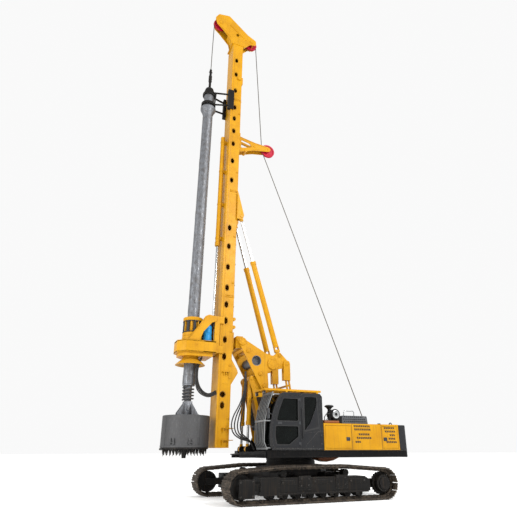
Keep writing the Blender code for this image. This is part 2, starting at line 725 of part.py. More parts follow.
def build_cab():
    y0, y1 = CAB_INNER, UPPER_HALF
    pieces = [side_plate(rounded(CAB_SIDE), (y0, y1)), box((-0.30, 1.10), (0.75, 1.35), (DECK_TOP + SEAT, 1.44))]
    front = (1.0, 1.5)
    cuts = [
        side_plate(inset(CAB_SIDE, CAB_WALL), (y0 + CAB_WALL, y1 - CAB_WALL)),
        box((1.0, 1.6), (y0 + 0.09, y1 - 0.09), (1.58, 2.98)),
        side_plate(DOOR_SIDE, (y1 - 0.10, y1 + 0.10)),
        side_plate(
            rounded([(-0.33, 2.05), (0.22, 1.93), (0.22, 3.0, 0.05), (-0.27, 3.0, 0.05)]), (y1 - 0.1, y1 + 0.1)
        ),
        side_plate(rounded([(-0.30, 2.1, 0.05), (1.10, 2.1, 0.05), (0.93, 2.98, 0.05), (-0.30, 2.98, 0.05)]), (y0 - 0.1, y0 + 0.1)),
        box((CAB_REAR - 0.1, CAB_REAR + 0.1), (y0 + 0.12, y1 - 0.12), (2.45, 2.98)),
    ]
    sill = box((0.36, 1.20), (y1 - CAB_WALL - 0.03, y1 - CAB_WALL - SEAT), (1.45, 1.50))
    fuse("cab_shell", DARK, pieces, cuts, late=[sill])

    hinge = (DOOR_REAR + PANEL_GAP, y1, 1.5)
    upper_window = [(0.40, 2.24, 0.04), (1.17, 2.24, 0.04), (1.09, 2.55, 0.2), (0.93, 2.94, 0.04), (0.40, 2.94, 0.04)]
    lower_window = [(0.40, 1.80, 0.04), (0.72, 1.56, 0.08), (1.16, 1.56, 0.04), (1.215, 1.80, 0.1), (1.20, 2.12, 0.04), (0.40, 2.12, 0.04)]
    leaf = side_plate(inset(DOOR_SIDE, PANEL_GAP), (y1 - CAB_WALL, y1), [rounded(upper_window), rounded(lower_window)])
    fuse("cab_door", DARK, [leaf], (), hinge)
    pane = inset([p[:2] for p in DOOR_SIDE], 0.05)
    fuse(
        "door_glass",
        GLASS,
        [side_plate(pane, (y1 - CAB_WALL - 0.008, y1 - CAB_WALL - SEAT))],
        (),
        hinge,
    )
    screen = [p[:2] for p in CAB_SIDE]
    band = inset(screen, 0.012)
    inner = inset(screen, 0.020)
    front_band = [p for p in band if p[0] > 1.0] + [p for p in reversed(inner) if p[0] > 1.0]
    fuse("windscreen", GLASS, [side_plate(front_band, (y0 + 0.09 + SEAT, y1 - 0.09 - SEAT))], [box((0.5, 2), (0, 2), (1.0, 1.584)), box((0.5, 2), (0, 2), (2.976, 3.5))])

    seat_y = (y0 + y1) / 2
    fuse(
        "seat",
        FABRIC,
        [
            box((0.02, 0.50), (seat_y - 0.24, seat_y + 0.24), (1.86, 1.98)),
            strut((0.05, seat_y, 1.92), (-0.10, seat_y, 2.62), 0.46, 0.11),
            box((0.08, 0.42), (seat_y - 0.16, seat_y + 0.16), (1.47 + SEAT, 1.90)),
        ],
    )
    fuse(
        "console",
        BLACK,
        [
            box((0.0, 0.62), (y0 + CAB_WALL + 0.01, y0 + CAB_WALL + 0.14), (1.47 + SEAT, 2.06)),
            bar((0.52, y0 + 0.12, 2.0), (0.56, y0 + 0.12, 2.26), 0.016, 10),
        ],
    )
    guard_low = 3.15
    frame = [
        box((-0.43, 1.57), (0.64, 0.70), (guard_low, guard_low + 0.06)),
        box((-0.43, 1.57), (1.425, 1.485), (guard_low, guard_low + 0.06)),
    ]
    for x in (-0.43, 0.10, 0.62, 1.10, 1.51):
        frame.append(box((x, x + 0.06), (0.66, 1.46), (guard_low + 0.005, guard_low + 0.055)))
    for x in (-0.30, 0.80):
        for y in (0.67, 1.455):
            frame.append(box((x - 0.03, x + 0.03), (y - 0.03, y + 0.03), (CAB_TOP + SEAT, guard_low + 0.02)))
    fuse("cab_roof_guard", YELLOW, frame)

    bars = []
    curve = [(1.46, 1.46), (1.55, 1.65), (1.53, 2.25), (1.42, 2.70), (1.27, 3.09)]
    for n in range(7):
        y = y0 + 0.06 + n * (y1 - y0 - 0.12) / 6
        reach = 0.018
        ahead = [(x + 0.012, z) for x, z in curve]
        behind = [(x - 0.012, z) for x, z in reversed(curve)]
        bars.append(side_plate(ahead + behind, (y - reach / 2, y + reach / 2)))
    for x, z in (curve[0], curve[2], curve[-1]):
        bars.append(box((x - 0.02, x + 0.02), (y0 + 0.04, y1 - 0.04), (z - 0.025, z + 0.025)))
    for x, z, back in ((curve[0][0], curve[0][1] + 0.02, 1.340), (curve[2][0], curve[2][1], 1.3412), (curve[-1][0], 3.05, 1.038)):
        for y in (y0 + 0.06, y1 - 0.06):
            bars.append(box((back + SEAT, x), (y - 0.015, y + 0.015), (z - 0.015, z + 0.015)))
    fuse("cab_front_guard", DARK, bars)

    walk = [
        floor_plate([(DECK_FRONT + SEAT, 0.62), (2.10, 0.62), (2.44, 0.95), (2.44, 1.40), (2.36, 1.47), (DECK_FRONT + SEAT, 1.47)], (1.29, 1.32)),
        box((DECK_FRONT + SEAT, 2.30), (0.66, 0.70), (1.21, 1.30)),
        box((DECK_FRONT + SEAT, 2.30), (1.40, 1.44), (1.21, 1.30)),
        box((DECK_FRONT + SEAT, DECK_FRONT + 0.04), (0.62, 1.47), (1.21, 1.38)),
    ]
    fuse("front_walkway", DARK, walk)


# Linkage


def build_boom():
    side = rounded(
        [
            (BOOM_FOOT[0] - 0.17, BOOM_FOOT[1] - 0.02, 0.14),
            (BOOM_FOOT[0] + 0.02, BOOM_FOOT[1] - 0.17, 0.14),
            (BOOM_FOOT[0] + 0.24, BOOM_FOOT[1] - 0.05, 0.1),
            (1.565, 3.26),
            (LUFF_HEAD[0] + 0.11, LUFF_HEAD[1] - 0.02, 0.08),
            (LUFF_HEAD[0] - 0.01, LUFF_HEAD[1] + 0.12, 0.08),
            (LUFF_HEAD[0] - 0.16, LUFF_HEAD[1] - 0.02),
            (BOOM_HEAD[0] + 0.14, BOOM_HEAD[1] + 0.12, 0.08),
            (BOOM_HEAD[0] - 0.16, BOOM_HEAD[1] + 0.14, 0.12),
            (BOOM_HEAD[0] - 0.22, BOOM_HEAD[1] - 0.25),
        ]
    )
    pieces = []
    for sign in (1, -1):
        pieces.append(side_plate(side, (sign * BOOM_Y, sign * (BOOM_Y + 0.04))))
        pieces.append(pin(BOOM_FOOT, (sign * (BOOM_Y - 0.01), sign * (TOWER_Y - SEAT)), 0.12, 16))
    pieces += [
        pin(BOOM_HEAD, (-DELTA_Y + PLATE / 2 + SEAT, DELTA_Y - PLATE / 2 - SEAT), 0.11),
        pin(LUFF_HEAD, (-BOOM_Y - 0.02, BOOM_Y + 0.02), LUG_PIN),
        strut((0.90, 0, 2.05), (1.10, 0, 3.10), 0.78, 0.03),
        strut((1.20, 0, 2.05), (1.42, 0, 3.0), 0.78, 0.03),
    ]
    bores = [pin(BOOM_HEAD, (-0.5, 0.5), 0.06 + RUN), pin(BOOM_FOOT, (-0.5, 0.5), 0.065 + RUN, 16)]
    fuse("boom", YELLOW, pieces, bores, (BOOM_FOOT[0], 0, BOOM_FOOT[1]))


def build_delta():
    side = rounded(
        [
            (TILT_PIN[0] + 0.17, TILT_PIN[1] + 0.04, 0.06),
            (TILT_PIN[0] + 0.09, TILT_PIN[1] + 0.17, 0.10),
            (1.10, 4.48, 0.1),
            (0.86, 4.42, 0.1),
            (STAY_FOOT[0] + 0.02, STAY_FOOT[1] + 0.14, 0.10),
            (STAY_FOOT[0] - 0.15, STAY_FOOT[1] - 0.02, 0.08),
            (ROD_HEAD[0] - 0.13, ROD_HEAD[1] + 0.04, 0.09),
            (ROD_HEAD[0] + 0.02, ROD_HEAD[1] - 0.13, 0.09),
            (0.87, 3.93, 0.16),
            (1.06, 3.86, 0.05),
            (1.03, 3.45),
            (BOOM_HEAD[0] - 0.14, BOOM_HEAD[1] - 0.12, 0.10),
            (BOOM_HEAD[0] + 0.06, BOOM_HEAD[1] - 0.18, 0.10),
        ]
    )
    holes = [ring_points((1.472, 4.22), 0.165, 20)]
    pieces = []
    for sign in (1, -1):
        low, high = DELTA_Y - PLATE / 2, DELTA_Y + PLATE / 2
        pieces.append(side_plate(side, (sign * low, sign * high), holes))
        pieces.append(pin((0.869, 4.15), (sign * 0.45, sign * 0.56), 0.20, 14))
        pieces.append(pin(TILT_PIN, (sign * 0.45, sign * 0.55), 0.13, 14))
        pieces.append(pin(ROD_HEAD, (sign * 0.41, sign * 0.59), 0.045, 10))
        inner = rounded(
            [(0.80, 4.02), (0.80, 4.40), (STAY_FOOT[0] + 0.02, STAY_FOOT[1] + 0.12), (STAY_FOOT[0] - 0.12, STAY_FOOT[1] - 0.02)]
        )
        pieces.append(side_plate(inner, (sign * 0.30, sign * 0.335)))
        pieces.append(pin(STAY_FOOT, (sign * 0.27, sign * 0.55), 0.035, 10))
    pieces += [
        pin((0.869, 4.15), (-0.49, 0.49), 0.15, 12),
        pin((1.76, 4.54), (-0.54, 0.54), 0.075, 10),
        pin((1.317, 3.81), (-0.54, 0.54), 0.075, 10),
        pin(TILT_PIN, (-0.49, 0.49), 0.06),
        pin(BOOM_HEAD, (-0.54, 0.54), 0.06),
    ]
    fuse("delta_frame", YELLOW, pieces, (), (BOOM_HEAD[0], 0, BOOM_HEAD[1]))


def build_support_rods():
    foot, head = ROD_FOOT, ROD_HEAD
    pieces, cuts = [], []
    for sign in (1, -1):
        for y in ((0.41, DELTA_Y - PLATE / 2 - SEAT), (0.535, 0.59)):
            cheek = rounded(
                [
                    (head[0] - 0.13, head[1] - 0.56),
                    (head[0] + 0.11, head[1] - 0.56),
                    (head[0] + 0.12, head[1] + 0.12, 0.11),
                    (head[0] - 0.12, head[1] + 0.12, 0.11),
                ]
            )
            pieces.append(side_plate(cheek, (sign * y[0], sign * y[1])))
        pieces.append(box((head[0] - 0.13, head[0] + 0.11), (sign * 0.41, sign * 0.59), (head[1] - 0.56, head[1] - 0.30)))
        for shift in (-0.055, 0.055):
            low = (foot[0] + shift, sign * 0.53, foot[1])
            high = (head[0] - 0.03 + shift, sign * 0.53, head[1] - 0.50)
            pieces.append(strut(low, high, 0.055, 0.05))
        pieces.append(pin(foot, (sign * (TOWER_Y + TOWER_PLATE + SEAT), sign * 0.5575), 0.11, 16))
        cuts.append(pin(head, (sign * 0.40, sign * 0.60), 0.045 + RUN))
        cuts.append(pin(foot, (sign * 0.45, sign * 0.60), 0.045 + RUN))
    pieces.append(bar((0.3025, -0.54, 3.45), (0.3025, 0.54, 3.45), 0.035, 12))
    first = pieces.pop()
    fuse("support_rods", YELLOW, [first] + pieces, cuts, (foot[0], 0, foot[1]))


def towards(start, end, distance):
    start, end = Vector(start), Vector(end)
    return start + (end - start).normalized() * distance


def build_cylinder(name, barrel_pin, rod_pin, eye_half, barrel_radius, rod_radius, barrel_length, rod_inside, eye):
    """A barrel with its eye on one pin and a rod with its eye on the other."""
    start, end = Vector(barrel_pin), Vector(rod_pin)
    gland = towards(start, end, barrel_length)
    eye_radius, pin_radius, rod_eye_half = eye
    barrel = [
        bar(towards(start, end, eye_radius * 0.6), gland, barrel_radius, 20),
        bar(towards(start, end, barrel_length - 0.12), gland, barrel_radius + 0.012, 20),
        bar(start - Vector((0, eye_half, 0)), start + Vector((0, eye_half, 0)), eye_radius, 18),
    ]
    cuts = [
        bar(start - Vector((0, eye_half * 1.5, 0)), start + Vector((0, eye_half * 1.5, 0)), pin_radius + RUN, 16),
        bar(towards(start, end, eye_radius + 0.06), towards(start, end, barrel_length + 0.1), rod_radius + SEAT, 16),
    ]
    fuse(name.replace("*", "barrel"), YELLOW, barrel, cuts, start)
    rod = [
        bar(towards(start, end, barrel_length - rod_inside), towards(end, start, eye_radius * 0.6), rod_radius, 16),
        bar(end - Vector((0, rod_eye_half, 0)), end + Vector((0, rod_eye_half, 0)), eye_radius, 16),
    ]
    fuse(name.replace("*", "rod"), CHROME, rod, (), end)


def build_linkage():
    build_boom()
    build_delta()
    build_support_rods()
    for side, sign in (("left", 1), ("right", -1)):
        build_cylinder(
            f"luff_*_{side}",
            (LUFF_HEAD[0], sign * LUFF_Y, LUFF_HEAD[1]),
            (LUFF_FOOT[0], sign * LUFF_Y, LUFF_FOOT[1]),
            BOOM_Y - LUFF_Y - SEAT,
            0.07,
            0.04,
            1.48,
            1.0,
            (0.085, LUG_PIN, 0.07 - SEAT),
        )
    cross = [
        box((1.93, 2.16), (-0.40, 0.40), (4.62, 5.03)),
        bar((2.10, 0, 4.83), (2.27, 0, 4.83), 0.12, 24),
        pin(TILT_PIN, (-0.45 + SEAT, 0.45 - SEAT), 0.16, 20),
    ]
    fuse("cross_head", YELLOW, cross, [pin(TILT_PIN, (-0.5, 0.5), 0.06 + RUN)], (TILT_PIN[0], 0, TILT_PIN[1]))


# Mast


def build_mast():
    pitch_low = [3.09, 4.31, 4.88, 5.54, 6.12, 6.74, 7.53, 8.35, 9.11]
    pitch_high = [MAST_TOP - drop for drop in (0.95, 1.75, 2.65, 3.56, 4.14, 4.78, 5.42, 6.25, 7.15)]
    middle = (MAST_REAR + MAST_FRONT) / 2 + 0.04
    slots = [
        side_plate(slot_points((middle, z), 0.125, 0.24), (-1, 1)) for z in pitch_low[1:] + [z for z in pitch_high if z > pitch_low[-1] + 0.5]
    ] + [
        side_plate(slot_points((middle, 2.75), 0.125, 0.24), (-1, 1)),
        side_plate(ring_points((middle, 3.09), 0.085, 12), (-1, 1)),
    ]
    half, wall = MAST_HALF, MAST_WALL
    tube = box((MAST_REAR, MAST_FRONT), (-half, half), (MAST_LOW, MAST_TOP))
    pieces = [tube]
    for sign in (1, -1):
        pieces.append(
            box((MAST_FRONT - 0.065, MAST_FRONT), (sign * (half - 0.03), sign * (half + RAIL)), (MAST_LOW, MAST_TOP - 0.1))
        )
        gusset = [(MAST_REAR + 0.02, 4.28), (2.09, 3.92), (2.05, 3.80), (MAST_REAR + 0.02, 3.36)]
        pieces.append(side_plate(gusset, (sign * 0.25, sign * 0.31)))
        head = rounded(
            [
                (MAST_REAR + 0.02, STAY_HEAD[1] + 1.1),
                (STAY_HEAD[0] + 0.06, STAY_HEAD[1] + 0.66),
                (STAY_HEAD[0] - 0.10, STAY_HEAD[1] + 0.06, 0.05),
                (STAY_HEAD[0] - 0.05, STAY_HEAD[1] - 0.10, 0.05),
                (MAST_REAR + 0.02, STAY_HEAD[1] - 0.12),
            ]
        )
        for near in (STAY_HEAD_Y - STAY_CHEEK - 0.025, STAY_HEAD_Y + STAY_CHEEK):
            pieces.append(side_plate(head, (sign * near, sign * (near + 0.025))))
        for near, far in ((STAY_CHEEK + 0.005, 0.13), (-0.13, -STAY_CHEEK - 0.005)):
            pieces.append(pin(STAY_HEAD, (sign * (STAY_HEAD_Y + near), sign * (STAY_HEAD_Y + far)), 0.05))
        for z in (5.35, 5.63):
            pieces.append(pin((MAST_REAR - 0.045, z), (sign * 0.22, sign * 0.31), 0.06, 14))
            pieces.append(box((MAST_REAR - 0.045, MAST_REAR + 0.01), (sign * 0.23, sign * 0.30), (z - 0.04, z + 0.04)))
    pieces += [
        box((2.14, MAST_REAR + 0.01), (-0.31, 0.31), (2.05, 2.07)),
        box((2.14, MAST_REAR + 0.01), (-0.31, 0.31), (1.70, 1.72)),
        pin((2.11, 3.86), (-0.30, 0.30), 0.05),
        bar((2.16 + SEAT, 0, 4.83), (MAST_REAR + 0.01, 0, 4.83), 0.20, 24),
        box((2.24, MAST_REAR + 0.01), (-0.31, 0.31), (4.50, 5.16)),
        box((2.25, MAST_REAR + 0.01), (-0.42, 0.42), (9.58, 10.55)),
        box((MAST_REAR + 0.01, MAST_REAR - 0.06), (-0.30, 0.30), (MAST_TOP - 2.15, MAST_TOP - 1.8)),
    ]
    hollow = box((MAST_REAR + wall, MAST_FRONT - wall), (-half + wall, half - wall), (MAST_LOW - 0.1, MAST_TOP + 0.1))
    hub_bore = bar((2.1, 0, 4.83), (MAST_REAR - 0.005, 0, 4.83), 0.12 + RUN, 24)
    fuse("mast", YELLOW, pieces, [hollow, hub_bore] + slots)


FRONT_SHEAVE = (KELLY_X - SHEAVE_RADIUS + 0.02, MAST_TOP + 1.20)
REAR_SHEAVE = (1.83, MAST_TOP + 0.63)
GUIDE_SHEAVE = (0.915, 13.245)


def build_sheave(name, centre, hub_half):
    """A grooved wheel whose hub runs between cheeks this far from the middle."""
    r, w, h = SHEAVE_RADIUS, SHEAVE_WIDTH / 2, hub_half - SEAT
    groove = [(r, w), (r - 0.045, 0.010), (r - 0.045, -0.010), (r, -w)]
    bore = [(0.08, -w), (0.08, -h), (0.04 + RUN, -h), (0.04 + RUN, h), (0.08, h), (0.08, w)]
    profile = groove + bore
    fuse(name, RED, [turned(profile, (centre[0], 0, centre[1]), "Y", 20)], (), (centre[0], 0, centre[1]))


def build_mast_head():
    top = MAST_TOP
    low = top + SEAT
    side = rounded(
        [
            (MAST_FRONT + 0.02, low),
            (MAST_FRONT + 0.10, top + 0.37),
            (3.30, top + 0.87),
            (3.52, top + 1.07, 0.05),
            (3.60, top + 1.40, 0.10),
            (3.45, top + 1.67, 0.08),
            (2.95, top + 1.77, 0.08),
            (2.03, top + 0.98, 0.08),
            (1.62, top + 0.77, 0.10),
            (1.60, top + 0.51, 0.08),
            (1.90, top + 0.43, 0.05),
            (MAST_REAR - 0.02, low),
        ]
    )
    pieces = [box((MAST_REAR - 0.06, MAST_FRONT + 0.06), (-0.36, 0.36), (low, low + 0.04))]
    for sign in (1, -1):
        pieces.append(side_plate(side, (sign * 0.17, sign * 0.20), [ring_points((2.50, top + 0.75), 0.09, 16)]))
    pieces += [
        pin(FRONT_SHEAVE, (-0.22, 0.22), 0.04),
        pin(REAR_SHEAVE, (-0.22, 0.22), 0.04),
        box((2.40, 2.46), (-0.19, 0.19), (top + 0.15, top + 1.15)),
        strut((2.95, 0, top + 0.63), (2.70, 0, top + 0.20), 0.38, 0.03),
        strut((2.85, 0, top + 1.65), (2.20, 0, top + 1.08), 0.38, 0.03),
    ]
    fuse("mast_head", YELLOW, pieces)
    build_sheave("front_sheave", FRONT_SHEAVE, 0.17)
    build_sheave("rear_sheave", REAR_SHEAVE, 0.17)


def build_guide_arm():
    x0 = MAST_REAR - SEAT
    pieces = [box((x0 - 0.04, x0), (-0.30, 0.30), (12.72, 13.58))]
    side = rounded(
        [
            (x0 - 0.02, 12.76),
            (x0 - 0.02, 13.55),
            (1.75, 13.42),
            (GUIDE_SHEAVE[0] - 0.06, GUIDE_SHEAVE[1] + 0.10, 0.06),
            (GUIDE_SHEAVE[0] - 0.06, GUIDE_SHEAVE[1] - 0.10, 0.06),
            (1.55, 13.02),
        ]
    )
    hole = rounded([(2.16, 12.98, 0.04), (2.16, 13.38, 0.04), (1.80, 13.30, 0.04), (1.66, 13.14, 0.04)])
    for sign in (1, -1):
        pieces.append(side_plate(side, (sign * 0.12, sign * 0.15), [hole]))
    pieces += [
        pin(GUIDE_SHEAVE, (-0.17, 0.17), 0.04),
        pin((1.55, 13.22), (-0.14, 0.14), 0.05),
        pin((1.95, 12.90), (-0.14, 0.14), 0.05),
    ]
    fuse("guide_arm", YELLOW, pieces)
    build_sheave("guide_pulley", GUIDE_SHEAVE, 0.12)


def build_mast_stays():
    for side, sign in (("left", 1), ("right", -1)):
        foot = Vector((STAY_FOOT[0], sign * STAY_FOOT_Y, STAY_FOOT[1]))
        head = Vector((STAY_HEAD[0], sign * STAY_HEAD_Y, STAY_HEAD[1]))
        upper = towards(foot, head, 0.17)
        yoke = [
            pin((foot.x, foot.z), (sign * 0.36, sign * (DELTA_Y - PLATE / 2 - SEAT)), 0.085, 16),
            strut(foot, towards(foot, head, 0.22), 0.08, 0.12 - 2 * SEAT),
            bar(upper - Vector((0.10, 0, -0.029)), upper + Vector((0.10, 0, -0.029)), 0.03, 14),
        ]
        fuse(
            f"stay_yoke_{side}",
            YELLOW,
            yoke,
            [pin((foot.x, foot.z), (sign * 0.3, sign * 0.5), 0.035 + RUN)],
            foot,
        )
        along = (head - foot).normalized()
        ahead = Vector((0, 1, 0)).cross(along).normalized()
        start = towards(foot, head, 0.30)
        gland = towards(foot, head, 3.55)
        barrel = [bar(start, gland, 0.095, 20), bar(towards(foot, head, 3.43), gland, 0.108, 20)]
        for shift in (-0.075, 0.075):
            barrel.append(strut(towards(foot, head, 0.12) + ahead * shift, towards(foot, head, 0.34) + ahead * shift, 0.09, 0.03))
        bore = bar(towards(foot, head, 0.45), towards(foot, head, 3.7), 0.055 + SEAT, 16)
        eye = bar(upper - ahead * 0.15, upper + ahead * 0.15, 0.03 + RUN, 14)
        fuse(f"stay_barrel_{side}", YELLOW, barrel, [bore, eye], upper)
        rod = [
            bar(towards(foot, head, 1.6), towards(head, foot, 0.22), 0.055, 16),
            bar(towards(head, foot, 0.25), towards(head, foot, 0.05), 0.04, 12),
            pin((head.x, head.z), (sign * (STAY_HEAD_Y - 0.045), sign * (STAY_HEAD_Y + 0.045)), 0.085, 18),
        ]
        fuse(
            f"stay_rod_{side}",
            CHROME,
            rod,
            (),
            head,
        )


# Drilling line


def build_crowd():
    x = CROWD_X
    barrel = [
        upright((CROWD_LOW, CROWD_TOP), CROWD_BARREL, x=x, sides=20),
        upright((CROWD_LOW, CROWD_LOW + 0.15), CROWD_BARREL + 0.012, x=x, sides=20),
    ]
    for z in (8.75, 10.2, 11.7, 13.1):
        barrel.append(box((MAST_FRONT + SEAT, x), (-0.07, 0.07), (z - 0.06, z + 0.06)))
    bore = upright((CROWD_LOW - 0.1, CROWD_TOP - 0.2), CROWD_ROD + SEAT, x=x, sides=16)
    fuse("crowd_barrel", YELLOW, barrel, [bore])
    rod = [upright((5.655 + SEAT, 10.95), CROWD_ROD, x=x, sides=16)]
    fuse("crowd_rod", CHROME, rod)


def build_carriage():
    front, half = MAST_FRONT, MAST_HALF
    rail_out = half + RAIL
    low, high = 4.40, 5.64
    pieces = [box((front + 0.03, 2.95), (-0.42, 0.42), (low, high))]
    for sign in (1, -1):
        for z in ((low, low + 0.24), (high - 0.24, high)):
            pieces.append(box((front - 0.09, 2.84), (sign * (rail_out + RUN), sign * 0.42), z))
            pieces.append(box((front - 0.12, front - 0.065 - RUN), (sign * (half + RUN), sign * 0.42), z))
            pieces.append(box((front + SEAT, front + 0.04), (sign * (half - 0.06), sign * rail_out), z))
        brace = rounded(
            [(3.72, HEAD_TOP - 0.02), (3.88, HEAD_TOP - 0.02), (3.80, HEAD_TOP + 0.06), (3.30, 5.60, 0.05), (3.18, 5.66, 0.05), (2.90, 5.62), (2.90, 5.46), (3.06, 5.40, 0.1), (3.34, 5.06, 0.15), (3.46, HEAD_TOP - 0.02)]
        )
        pieces.append(side_plate(brace, (sign * 0.40, sign * 0.44)))
    pieces.append(box((2.86, 2.95), (-0.12, 0.12), (high - 0.05, high + 0.015)))
    octagon = rounded([(KELLY_X + p, q) for p, q in ((0.53, -0.22), (0.53, 0.22), (0.30, 0.50), (-0.30, 0.52), (-0.70, 0.52), (-0.70, -0.52), (-0.30, -0.52), (0.30, -0.50))])
    pieces += [
        floor_plate(octagon, (HEAD_LOW + 0.12, HEAD_TOP)),
        floor_plate([(KELLY_X + 0.86 * (p - KELLY_X) - 0.02, 0.86 * q) for p, q in octagon], (HEAD_LOW, HEAD_LOW + 0.13)),
        upright((HEAD_TOP - 0.01, 4.93 - SEAT), 0.33, sides=20),
    ]
    cuts = [
        upright((HEAD_LOW - 0.1, 5.0), SLEEVE_BORE + 0.04 + RUN, sides=24),
        upright((5.4, 5.8), CROWD_ROD + 0.001, x=CROWD_X, sides=16),
    ]
    window = box((front, 2.99), (-0.30, 0.30), (4.85, 5.35))
    motors = []
    for sign in (1, -1):
        motors += [
            upright((HEAD_TOP - 0.01, 5.28), 0.135, x=3.15, y=sign * 0.235, sides=20),
            upright((5.25, 5.40), 0.10, x=3.15, y=sign * 0.235, sides=16),
        ]
    fuse("rotary_carriage", YELLOW, pieces, cuts + [window], late=motors)


def build_sleeve():
    bore, wall = SLEEVE_BORE, SLEEVE_BORE + 0.04
    profile = [
        (bore, 5.57),
        (bore + 0.115, 5.57),
        (bore + 0.115, 5.45),
        (bore + 0.055, 5.43),
        (bore + 0.055, 5.07),
        (bore + 0.115, 5.05),
        (bore + 0.115, 4.93),
        (wall, 4.93),
        (wall, 4.20),
        (bore + 0.065, 4.19),
        (bore + 0.085, 4.16),
        (bore + 0.275, 4.02),
        (bore + 0.275, 3.99),
        (bore, 3.99),
    ]
    pieces = [turned(profile, (KELLY_X, 0, 0), "Z", 20)]
    for n in range(6):
        angle = 2 * math.pi * n / 6
        ring = SLEEVE_BORE + 0.07
        x, y = KELLY_X + ring * math.cos(angle), ring * math.sin(angle)
        pieces.append(upright((4.98, 5.52), 0.042, x=x, y=y, sides=6))
    fuse("drive_sleeve", YELLOW, pieces, (), (KELLY_X, 0, 0))


def build_follower():
    front, half = MAST_FRONT, MAST_HALF
    rail_out = half + RAIL
    pieces = [
        turned(
            [(0.0, 15.70), (0.08, 15.70), (0.17, 15.62), (0.20, 15.50), (0.20, 15.33), (0.26, 15.33), (0.26, 15.24), (0.0, 15.24)],
            (KELLY_X, 0, 0),
            "Z",
            16,
        ),
        turned([(0.235, 14.82), (0.30, 14.82), (0.30, 14.70), (0.235, 14.70)], (KELLY_X, 0, 0), "Z", 16),
        turned(
            [(0.0, 16.74), (0.05, 16.74), (0.05, 16.40), (0.065, 16.38), (0.065, 16.05), (0.05, 16.03), (0.05, 15.66), (0.0, 15.66)],
            (KELLY_X, 0, 0),
            "Z",
            12,
        ),
    ]
    for sign in (1, -1):
        pieces += [
            bar((KELLY_X - 0.10, sign * 0.12, 15.40), (2.86, sign * 0.30, 15.40), 0.04, 6),
            bar((KELLY_X - 0.20, sign * 0.18, 14.76), (2.86, sign * 0.30, 14.82), 0.04, 6),
            box((front + 0.02, 2.88), (sign * 0.26, sign * 0.42), (14.62, 15.60)),
            box((front - 0.09, front + 0.03), (sign * (rail_out + RUN), sign * 0.42), (14.62, 15.60)),
            box((front - 0.12, front - 0.065 - RUN), (sign * (half + RUN), sign * 0.42), (14.62, 15.60)),
            box((front + SEAT, front + 0.03), (sign * (half - 0.06), sign * rail_out), (14.62, 14.80)),
            bar((3.40, sign * 0.19, 14.79), (3.36, sign * 0.17, 15.40), 0.03, 6),
        ]
    pieces += [
        bar((3.35, -0.17, 15.40), (3.35, 0.17, 15.40), 0.03, 6),
    ]
    fuse("follower_frame", DARK, pieces[:1] + pieces[1:])


def build_kelly():
    outer = [
        (KELLY_BORE, KELLY_TOP),
        (KELLY_RADIUS, KELLY_TOP),
        (KELLY_RADIUS, 14.60),
        (0.31, 14.58),
        (0.31, 14.50),
        (KELLY_RADIUS, 14.26),
        (KELLY_RADIUS, KELLY_LOW),
        (KELLY_BORE, KELLY_LOW),
    ]
    fuse("kelly_outer", STEEL, [turned(outer, (KELLY_X, 0, 0), "Z", 24)], (), (KELLY_X, 0, 0))
    x = KELLY_X
    coupling = [(-0.13, 2.80), (0.13, 2.80), (0.33, 2.50), (0.33, 2.42), (-0.33, 2.42), (-0.33, 2.50)]
    inner = [
        turned(
            [(0.05, 15.05), (0.178, 15.05), (0.178, 14.85), (INNER_RADIUS, 14.80), (INNER_RADIUS, 2.60), (0.0, 2.60), (0.0, 3.40), (0.05, 3.40)],
            (x, 0, 0),
            "Z",
            16,
        ),
        box((x - 0.13, x + 0.13), (-0.13, 0.13), (BUCKET_TOP + SEAT, 2.86)),
    ]
    for n in range(4):
        z = 2.88 + n * 0.12
        inner.append(upright((z, z + 0.065), 0.195, sides=16))
    inner.append(upright((KELLY_LOW - 0.05, KELLY_LOW - SEAT), 0.20, sides=20))
    plate = [(x - 0.34, -0.34), (x + 0.34, -0.34), (x + 0.34, 0.34), (x - 0.34, 0.34)]
    for turn in range(2):
        for y in (-0.10, 0.10):
            web = side_plate([(x + p, q) for p, q in coupling], (y - 0.012, y + 0.012))
            if turn:
                bm = bmesh.new()
                bm.from_mesh(web.data)
                bmesh.ops.rotate(bm, cent=(x, 0, 0), matrix=Matrix.Rotation(math.pi / 2, 3, "Z"), verts=bm.verts)
                bm.to_mesh(web.data)
                bm.free()
            inner.append(web)
    inner.append(floor_plate(plate, (BUCKET_TOP + SEAT, BUCKET_TOP + 0.03)))
    fuse("kelly_inner", STEEL, inner, (), (x, 0, 0))


def build_bucket():
    x, r = KELLY_X, BUCKET_RADIUS
    wall = turned(
        [
            (0.0, BUCKET_TOP),
            (r, BUCKET_TOP),
            (r, BUCKET_LOW),
            (r - BUCKET_WALL, BUCKET_LOW),
            (r - BUCKET_WALL, BUCKET_TOP - 0.04),
            (0.0, BUCKET_TOP - 0.04),
        ],
        (x, 0, 0),
        "Z",
        40,
    )
    fuse("bucket_shell", STEEL, [wall], (), (x, 0, 0))
    top = DOOR_TOP
    pieces = [
        upright((top - 0.045, top), r - 0.01, sides=40),
        upright((top - 0.30, top - 0.02), 0.06, sides=12, top_radius=0.10),
    ]
    for row in (-1, 1):
        for n in range(6):
            reach = 0.14 + n * 0.10
            spot = (x + row * reach, row * 0.10)
            tooth = side_plate(
                [(spot[0] - 0.035, top - 0.03), (spot[0] + 0.035, top - 0.03), (spot[0] + 0.03, top - 0.12), (spot[0] - 0.01, top - 0.21)],
                (spot[1] - 0.045, spot[1] + 0.045),
            )
            pieces.append(tooth)
    hinge_x, hinge_z = BUCKET_HINGE
    beyond = [box((hinge_x, x + r + 0.1), (-1, 1), (1.0, top + 0.1))]
    barrel = [pin(BUCKET_HINGE, (-0.22, 0.22), 0.036)]
    fuse("bucket_door", DARK, pieces, beyond, (hinge_x, 0, hinge_z), late=barrel)


